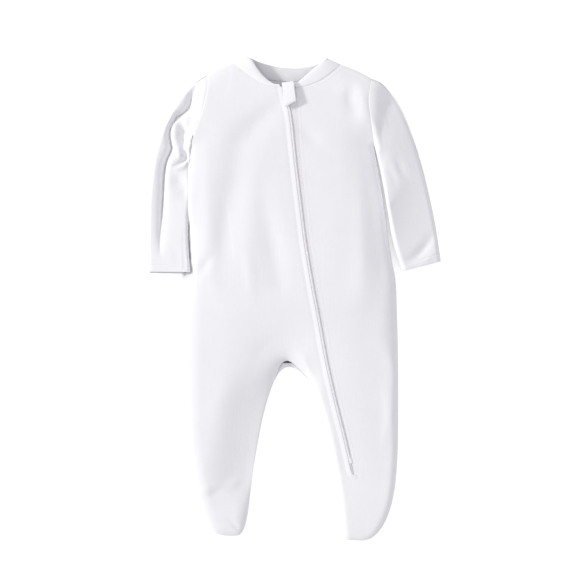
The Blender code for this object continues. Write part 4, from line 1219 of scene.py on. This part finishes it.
def zip_strip(sides, drop, thickness, stop, columns):
    """A strip along the zip between two sides, drop below the face of the front."""
    y = np.append(zip_rows(ZIP_TOP_Y, stop + 1.0, 2.0), stop)
    first, last = sides(y)
    x = first[:, None] + (last - first)[:, None] * np.linspace(0, 1, columns)
    grid = raised(np.stack([x, np.broadcast_to(y[:, None], x.shape)], axis=-1), plain_front)
    grid[..., 2] -= drop
    return Sheet().add(grid).weld().wall(thickness)


def left_tape(y):
    """Sides of the tape that lies under the lap."""
    gap = x_at(zip_line, y)
    past_chain = TAPE_PAST_CHAIN * fade(y, CHAIN_END_Y + 1.0, -2.0)
    return gap - GAP_HALF - LAP_WIDTH + 1.0, gap + GAP_HALF - 0.2 + past_chain


def right_tape(y):
    """Sides of the tape beyond the chain, which runs on under the folded edge."""
    gap = x_at(zip_line, y)
    return gap + GAP_HALF + COIL_WIDTH - CHAIN_UNDER, gap + slit_width(y) + TAPE_UNDER


def coil_sides(y):
    """Sides of the cord that the teeth are sewn on."""
    gap = x_at(zip_line, y)
    return gap + GAP_HALF - CHAIN_UNDER, gap + GAP_HALF + COIL_WIDTH - CHAIN_UNDER


def zip_place(y, offset):
    """Places beside the zip's gap, on the face of the front, and the direction of the zip there."""
    y = np.atleast_1d(np.asarray(y, float))
    x = x_at(zip_line, y) + offset
    run = np.column_stack([x_at(zip_line, y + 3.0) - x_at(zip_line, y - 3.0), np.full(len(y), 6.0)])
    run /= np.linalg.norm(run, axis=1)[:, None]
    return np.column_stack([x, y]), run


def pods(places, runs, length, radius, flat=1.0):
    """Small rounded rods, such as stitches and teeth: centres, directions in space, length and radius."""
    shares = np.array((-1.0, -0.72, 0.0, 0.72, 1.0))
    girth = np.array((0.3, 0.9, 1.0, 0.9, 0.3))
    sides = 6
    turn = np.arange(sides) * 2 * np.pi / sides
    up = np.array((0.0, 0.0, 1.0))
    points, faces = [], []
    for place, run in zip(places, runs):
        run = run / np.linalg.norm(run)
        across = np.cross(up, run)
        across /= np.linalg.norm(across)
        lift = np.cross(run, across)
        base = len(points) * len(shares) * sides
        spokes = [np.cos(a) * across + flat * np.sin(a) * lift for a in turn]
        rings = [
            place + run * share * 0.5 * length + radius * size * spoke
            for share, size in zip(shares, girth)
            for spoke in spokes
        ]
        points.append(rings)
        for ring in range(len(shares) - 1):
            for k in range(sides):
                a, b = base + ring * sides + k, base + ring * sides + (k + 1) % sides
                faces.append((a, b, b + sides, a + sides))
        faces.append(tuple(base + k for k in reversed(range(sides))))
        last = base + (len(shares) - 1) * sides
        faces.append(tuple(last + k for k in range(sides)))
    return np.array(points).reshape(-1, 3), faces


def stitches(line, step, length, radius, height):
    """A row of stitches along a line in plan, lying at a height function."""
    count = int(length_of(line) / step)
    middles = (np.arange(count) + 0.5) / count
    mid = along(line, middles)
    ahead = along(line, np.clip(middles + 0.3 / count, 0, 1))
    behind = along(line, np.clip(middles - 0.3 / count, 0, 1))
    mid, ahead, behind = (np.column_stack([places, height(places)]) for places in (mid, ahead, behind))
    return pods(mid, ahead - behind, length, radius)


def merged(*shapes):
    """Several sets of points and faces as one."""
    points, faces, count = [], [], 0
    for shape_points, shape_faces in shapes:
        points.append(shape_points)
        faces += [tuple(i + count for i in face) for face in shape_faces]
        count += len(shape_points)
    return np.vstack(points), faces


def beside_line(line, offset):
    """A line beside another in plan, on the side of +X where it runs down."""
    run = np.gradient(line, axis=0)
    run /= np.linalg.norm(run, axis=1)[:, None]
    return line + offset * np.column_stack([-run[:, 1], run[:, 0]])


def guard():
    """The cloth tab over the slider: up from inside the neck, over, and folded back under at its end."""
    left, right = np.array(GUARD_LEFT), np.array(GUARD_RIGHT)
    profile = smooth_line(GUARD_PROFILE, 7)
    rows = []
    across = np.array((0.0, 0.03, 0.08, 0.16, 0.3, 0.5, 0.7, 0.84, 0.92, 0.97, 1.0))
    for share, z in profile:
        start, end = left[0] + (left[1] - left[0]) * share, right[0] + (right[1] - right[0]) * share
        line = start + (end - start) * across[:, None]
        bulge = GUARD_CROWN * (1 - (2 * across - 1) ** 2)
        rows.append(np.column_stack([line, z + bulge]))
    return Sheet().add(np.array(rows)).weld().wall(GUARD_CLOTH)


def block(centre, size, turn, bevel):
    """A rounded block, turned in plan about its centre: its points and faces."""
    made = bmesh.new()
    bmesh.ops.create_cube(made, size=1)
    for vertex in made.verts:
        vertex.co = vertex.co * Vector(size)
    bmesh.ops.bevel(made, geom=made.edges[:], offset=bevel, segments=3, affect="EDGES", profile=0.5)
    made.verts.index_update()
    points = np.array([tuple(v.co) for v in made.verts])
    faces = [tuple(v.index for v in f.verts) for f in made.faces]
    made.free()
    c, s = np.cos(turn), np.sin(turn)
    points[:, :2] = points[:, :2] @ np.array(((c, s), (-s, c)))
    return points + centre, faces


# ---- Materials ----

FULL_TURN = 6.28318


def node_group(name, inputs, outputs):
    """A shader node group with named sockets, and its input and output nodes."""
    group = bpy.data.node_groups.new(name, "ShaderNodeTree")
    for label, kind, value in inputs:
        socket = group.interface.new_socket(name=label, in_out="INPUT", socket_type=kind)
        if value is not None:
            socket.default_value = value
    for label, kind in outputs:
        group.interface.new_socket(name=label, in_out="OUTPUT", socket_type=kind)
    return group, group.nodes.new("NodeGroupInput"), group.nodes.new("NodeGroupOutput")


def put(socket, value, tree):
    """Links a socket to another, or gives it a plain value."""
    if isinstance(value, bpy.types.NodeSocket):
        tree.links.new(value, socket)
    else:
        socket.default_value = value


def math(tree, operation, *values):
    made = tree.nodes.new("ShaderNodeMath")
    made.operation = operation
    for socket, value in zip(made.inputs, values):
        put(socket, value, tree)
    return made.outputs[0]


def bump(tree, height, distance_m, strength, normal=None):
    made = tree.nodes.new("ShaderNodeBump")
    made.inputs["Strength"].default_value = strength
    made.inputs["Distance"].default_value = distance_m
    tree.links.new(height, made.inputs["Height"])
    if normal is not None:
        tree.links.new(normal, made.inputs["Normal"])
    return made.outputs["Normal"]


def noise(tree, vector, scale, detail, roughness=0.5):
    made = tree.nodes.new("ShaderNodeTexNoise")
    put(made.inputs["Scale"], scale, tree)
    made.inputs["Detail"].default_value = detail
    made.inputs["Roughness"].default_value = roughness
    tree.links.new(vector, made.inputs["Vector"])
    return made.outputs["Fac"]


def scaled(tree, vector, scale):
    made = tree.nodes.new("ShaderNodeMapping")
    made.vector_type = "POINT"
    made.inputs["Scale"].default_value = scale
    tree.links.new(vector, made.inputs["Vector"])
    return made.outputs["Vector"]


def knit_group():
    """Jersey: columns of V-shaped loops, and streaks where the columns run a little thick or thin."""
    tree, given, made = node_group(
        "knit_loops",
        [
            ("Vector", "NodeSocketVector", None),
            ("Wale", "NodeSocketFloat", 0.00085),
            ("Course", "NodeSocketFloat", 0.00065),
        ],
        [("Loops", "NodeSocketFloat"), ("Streaks", "NodeSocketFloat"), ("Fluff", "NodeSocketFloat")],
    )
    split = tree.nodes.new("ShaderNodeSeparateXYZ")
    tree.links.new(given.outputs["Vector"], split.inputs[0])
    column = math(tree, "DIVIDE", split.outputs["X"], given.outputs["Wale"])
    row = math(tree, "DIVIDE", split.outputs["Y"], given.outputs["Course"])
    from_middle = math(tree, "ABSOLUTE", math(tree, "SUBTRACT", math(tree, "FRACT", column), 0.5))
    slanted = math(tree, "MULTIPLY_ADD", from_middle, 1.3, row)
    yarn = math(tree, "COSINE", math(tree, "MULTIPLY", slanted, FULL_TURN))
    between_columns = math(tree, "POWER", math(tree, "MULTIPLY", from_middle, 2.0), 4.0)
    loops = math(tree, "SUBTRACT", math(tree, "MULTIPLY", yarn, 0.5), between_columns)
    tree.links.new(loops, made.inputs["Loops"])
    long_cells = scaled(tree, given.outputs["Vector"], (420.0, 42.0, 42.0))
    tree.links.new(noise(tree, long_cells, 1.0, 2.0), made.inputs["Streaks"])
    tree.links.new(noise(tree, given.outputs["Vector"], 900.0, 2.0, 0.6), made.inputs["Fluff"])
    return tree


def mottle_group():
    """Soft clouds in a finish, such as dye taken up unevenly."""
    tree, given, made = node_group(
        "soft_mottle",
        [
            ("Vector", "NodeSocketVector", None),
            ("Size", "NodeSocketFloat", 0.05),
            ("Amount", "NodeSocketFloat", 0.02),
        ],
        [("Factor", "NodeSocketFloat")],
    )
    scale = math(tree, "DIVIDE", 1.0, given.outputs["Size"])
    cloud = noise(tree, given.outputs["Vector"], scale, 3.0, 0.55)
    centred = math(tree, "SUBTRACT", cloud, 0.5)
    tree.links.new(math(tree, "MULTIPLY_ADD", centred, given.outputs["Amount"], 1.0), made.inputs["Factor"])
    return tree


def weave_group():
    """Tape: a tight twill of fine ribs across its length."""
    tree, given, made = node_group(
        "tape_weave",
        [("Vector", "NodeSocketVector", None), ("Pitch", "NodeSocketFloat", 0.0006)],
        [("Ribs", "NodeSocketFloat")],
    )
    split = tree.nodes.new("ShaderNodeSeparateXYZ")
    tree.links.new(given.outputs["Vector"], split.inputs[0])
    along_tape = math(tree, "DIVIDE", split.outputs["Y"], given.outputs["Pitch"])
    across_tape = math(tree, "DIVIDE", split.outputs["X"], given.outputs["Pitch"])
    slant = math(tree, "MULTIPLY_ADD", across_tape, 0.8, along_tape)
    warp = math(tree, "COSINE", math(tree, "MULTIPLY", slant, FULL_TURN))
    weft = math(tree, "COSINE", math(tree, "MULTIPLY", across_tape, FULL_TURN))
    tree.links.new(math(tree, "MULTIPLY_ADD", weft, 0.4, warp), made.inputs["Ribs"])
    return tree


KNIT = knit_group()
MOTTLE = mottle_group()
WEAVE = weave_group()


def group_node(tree, group, vector, **values):
    made = tree.nodes.new("ShaderNodeGroup")
    made.node_tree = group
    tree.links.new(vector, made.inputs["Vector"])
    for label, value in values.items():
        made.inputs[label].default_value = value
    return made


def shader(name, colour, roughness):
    """A new material with its Principled shader, its object coordinates and its node tree."""
    made = bpy.data.materials.new(name)
    made.use_nodes = True
    tree = made.node_tree
    surface = tree.nodes["Principled BSDF"]
    surface.inputs["Base Color"].default_value = (*colour, 1.0)
    surface.inputs["Roughness"].default_value = roughness
    place = tree.nodes.new("ShaderNodeTexCoord").outputs["Object"]
    return made, surface, place, tree


def tinted(tree, colour, factor):
    """A colour times a factor."""
    made = tree.nodes.new("ShaderNodeVectorMath")
    made.operation = "SCALE"
    made.inputs[0].default_value = colour
    tree.links.new(factor, made.inputs["Scale"])
    return made.outputs[0]


def turned(tree, vector, angle):
    made = tree.nodes.new("ShaderNodeMapping")
    made.inputs["Rotation"].default_value = (0.0, 0.0, angle)
    tree.links.new(vector, made.inputs["Vector"])
    return made.outputs["Vector"]


def jersey(name, colour, angle=0.0, wale=0.00085, course=0.00065, depth=0.00010, streak=0.00022):
    """Cotton jersey. The columns of loops run along +Y, turned by an angle."""
    made, surface, place, tree = shader(name, colour, 0.92)
    place = turned(tree, place, angle)
    knit = group_node(tree, KNIT, place, Wale=wale, Course=course)
    mottle = group_node(tree, MOTTLE, place, Size=0.035, Amount=0.05)
    tree.links.new(tinted(tree, colour, mottle.outputs["Factor"]), surface.inputs["Base Color"])
    normal = bump(tree, knit.outputs["Streaks"], streak, 0.5)
    normal = bump(tree, knit.outputs["Fluff"], 0.00025, 0.25, normal)
    normal = bump(tree, knit.outputs["Loops"], depth, 0.35, normal)
    tree.links.new(normal, surface.inputs["Normal"])
    surface.inputs["Sheen Weight"].default_value = 0.12
    surface.inputs["Sheen Roughness"].default_value = 0.6
    surface.inputs["Specular IOR Level"].default_value = 0.15
    return made


def woven(name, colour):
    made, surface, place, tree = shader(name, colour, 0.85)
    weave = group_node(tree, WEAVE, place, Pitch=0.0006)
    mottle = group_node(tree, MOTTLE, place, Size=0.008, Amount=0.04)
    tree.links.new(tinted(tree, colour, mottle.outputs["Factor"]), surface.inputs["Base Color"])
    tree.links.new(bump(tree, weave.outputs["Ribs"], 0.00012, 0.5), surface.inputs["Normal"])
    surface.inputs["Specular IOR Level"].default_value = 0.2
    return made


def nylon(name, colour, roughness):
    made, surface, place, tree = shader(name, colour, roughness)
    mottle = group_node(tree, MOTTLE, place, Size=0.004, Amount=0.05)
    tree.links.new(tinted(tree, colour, mottle.outputs["Factor"]), surface.inputs["Base Color"])
    surface.inputs["IOR"].default_value = 1.53
    return made


def painted(name, colour):
    made, surface, place, tree = shader(name, colour, 0.3)
    mottle = group_node(tree, MOTTLE, place, Size=0.002, Amount=0.05)
    tree.links.new(tinted(tree, colour, mottle.outputs["Factor"]), surface.inputs["Base Color"])
    surface.inputs["Coat Weight"].default_value = 0.3
    return made


WHITE = (0.885, 0.885, 0.900)
front_jersey = jersey("white_jersey", WHITE)
left_jersey = jersey("white_jersey_left_sleeve", WHITE, angle=0.18)
right_jersey = jersey("white_jersey_right_sleeve", WHITE, angle=-0.32)
band_jersey = jersey("white_band_jersey", (0.900, 0.900, 0.912), wale=0.0008, course=0.0007, streak=0.0003)
guard_jersey = jersey("white_guard_jersey", (0.925, 0.925, 0.935), streak=0.0002)
thread = jersey("white_thread", (0.90, 0.90, 0.91), wale=0.0004, course=0.0003, streak=0.0001)
tape = woven("white_tape", (0.890, 0.875, 0.892))
chain = nylon("white_nylon", (0.90, 0.90, 0.905), 0.4)
paint = painted("white_paint", (0.88, 0.88, 0.88))

# ---- The suit ----

front_piece = piece("front_panel", front(), front_jersey)
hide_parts("front")

back_piece = piece("back_panel", back(), front_jersey)
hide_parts("back")

shape, left_top = sleeve(OUTER_LEFT, INNER_LEFT, ARMHOLE_LEFT, True)
left_piece = piece("left_sleeve", shape, left_jersey)
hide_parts("sleeve_left")

shape, right_top = sleeve(OUTER_RIGHT, INNER_RIGHT, ARMHOLE_RIGHT, False)
right_piece = piece("right_sleeve", shape, right_jersey)
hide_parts("sleeve_right")

band_piece = piece("neck_band", neckband(), band_jersey)
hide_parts("neckband")

guard_piece = piece("zip_guard_tab", guard(), guard_jersey)
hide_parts("zip_guard")

left_tape_piece = piece("left_tape", zip_strip(left_tape, TAPE_DROP, TAPE_THICK, TAPE_END_Y, 5), tape)
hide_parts("zip_tape_left")
right_tape_piece = piece("right_tape", zip_strip(right_tape, TAPE_DROP, TAPE_THICK, TAPE_END_Y, 9), tape)
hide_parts("zip_tape_right")

# the chain: teeth across a cord
teeth_y = zip_rows(ZIP_TOP_Y, CHAIN_END_Y, TOOTH_PITCH)
teeth, run = zip_place(teeth_y, GAP_HALF + 0.5 * COIL_WIDTH - CHAIN_UNDER)
teeth = np.column_stack([teeth, plain_front(teeth) + CHAIN_RISE])
sideways = np.column_stack([run[:, 1], -run[:, 0], np.zeros(len(run))])
cord = zip_strip(coil_sides, 0.1 - CHAIN_RISE, 0.9, CHAIN_END_Y, 3)
chain_shape = merged(pods(teeth, sideways, TOOTH_LENGTH, TOOTH_RADIUS, TOOTH_TALL), cord)
chain_piece = piece("zip_chain", chain_shape, chain)
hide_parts("zip_coil")

stop_at, run = zip_place(STOP_Y, GAP_HALF + 0.5 * COIL_WIDTH)
stop_turn = -np.arctan2(run[0, 0], run[0, 1])
stop_z = float(plain_front(stop_at)[0]) + STOP_RISE - 0.5 * STOP_SIZE[2]
stop_piece = piece("bottom_stop", block((*stop_at[0], stop_z), STOP_SIZE, stop_turn, 0.4), chain)
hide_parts("zip_bottom_stop")

slide_at, run = zip_place(SLIDER_Y, GAP_HALF + 0.5 * COIL_WIDTH + SLIDER_ASIDE)
slide_turn = -np.arctan2(run[0, 0], run[0, 1])
slide_z = float(plain_front(slide_at)[0]) + CHAIN_RISE
pull_at, _ = zip_place(PULL_Y, GAP_HALF + 0.5 * COIL_WIDTH + SLIDER_ASIDE)
slider_shape = merged(
    block((*slide_at[0], slide_z + SLIDER_RISE), SLIDER_BLOCK, slide_turn, 0.45),
    block((*slide_at[0], slide_z + BRIDGE_RISE), BRIDGE_BLOCK, slide_turn, 0.5),
    block((*pull_at[0], slide_z + PULL_RISE), PULL_BLOCK, slide_turn, 0.3),
)
slider_piece = piece("zip_slider_and_pull", slider_shape, paint)
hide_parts("zip_slider")

# topstitching beside the slit, round the neck and on the cuffs
lap_edge, far_edge = slit_left[slit_left[:, 1] < 238.0], slit_right[slit_right[:, 1] < 238.0]


def over_front(places):
    """Height at which the stitches of the front lie, pulled in a little."""
    return front_height(places) - 0.02


stitched_lines = (
    beside_line(lap_edge, LAP_ROW),
    beside_line(far_edge, FAR_ROW),
    beside_line(neck_left, NECK_ROW),
    beside_line(neck_right, NECK_ROW),
)
rows = [stitches(line, STITCH_PITCH, STITCH_LENGTH, STITCH_RADIUS, over_front) for line in stitched_lines]
stitch_piece = piece("front_stitches", merged(*rows), thread)


def cuff_stitches(top_face):
    """A row of stitches in the ditch of a cuff's hem, on its upper layer."""
    plan, top = top_face
    row = len(top) - 1 - HEM_ROWS[::-1].index(9.0)
    line = np.column_stack([plan[row], top[row]])[3:-3]
    count = int(length_of(line) / STITCH_PITCH)
    mid = along(line, (np.arange(count) + 0.5) / count)
    run = along(line, (np.arange(count) + 0.7) / count) - along(line, (np.arange(count) + 0.3) / count)
    return pods(mid + (0, 0, 0.05), run, STITCH_LENGTH, STITCH_RADIUS)


for name, face in (("left_cuff_stitches", left_top), ("right_cuff_stitches", right_top)):
    made = piece(name, cuff_stitches(face), thread)

# ---- Floor, light and camera ----

bpy.ops.mesh.primitive_plane_add(size=4.0, location=(0.0, 0.0, -0.0002))
floor = bpy.context.object
floor.name = "floor"
floor_material = bpy.data.materials.new("pale_floor")
floor_material.use_nodes = True
tree = floor_material.node_tree
surface = tree.nodes["Principled BSDF"]
surface.inputs["Base Color"].default_value = (0.93, 0.93, 0.93, 1.0)
surface.inputs["Roughness"].default_value = 0.9
surface.inputs["Specular IOR Level"].default_value = 0.0
seen = tree.nodes.new("ShaderNodeLightPath")
glow = tree.nodes.new("ShaderNodeMath")
glow.operation = "MULTIPLY"
glow.inputs[1].default_value = 0.5
tree.links.new(seen.outputs["Is Camera Ray"], glow.inputs[0])
surface.inputs["Emission Color"].default_value = (1.0, 1.0, 1.0, 1.0)
tree.links.new(glow.outputs[0], surface.inputs["Emission Strength"])
floor.data.materials.append(floor_material)

scene = bpy.context.scene
world = bpy.data.worlds.new("studio")
world.use_nodes = True
world.node_tree.nodes["Background"].inputs["Color"].default_value = (0.955, 0.955, 1.0, 1.0)
world.node_tree.nodes["Background"].inputs["Strength"].default_value = 0.74
scene.world = world

# The key light: the direction it comes from in plan, and its height above the floor in degrees
KEY_FROM = (-12.0, 2.8)
KEY_ELEVATION = 29.0
key = bpy.data.lights.new("key", "SUN")
key.energy = 1.78
key.angle = np.radians(8.0)
key.color = (1.0, 0.995, 0.98)
key_object = bpy.data.objects.new("key", key)
flat = np.array(KEY_FROM) / np.linalg.norm(KEY_FROM)
slope = np.radians(KEY_ELEVATION)
towards = Vector((*(flat * np.cos(slope)), np.sin(slope)))
key_object.rotation_euler = towards.to_track_quat("Z", "Y").to_euler()
scene.collection.objects.link(key_object)

# The camera: width of the floor that it sees, and the point that it looks at, in metres
FIELD = 0.653
AIM = (-0.0091, 0.01425, 0.015)
lens = bpy.data.cameras.new("camera")
lens.lens = 120.0
lens.sensor_width = 36.0
lens.clip_end = 10.0
camera = bpy.data.objects.new("camera", lens)
camera.location = (AIM[0], AIM[1], AIM[2] + FIELD * lens.lens / lens.sensor_width)
scene.collection.objects.link(camera)
scene.camera = camera
scene.view_settings.view_transform = "Standard"
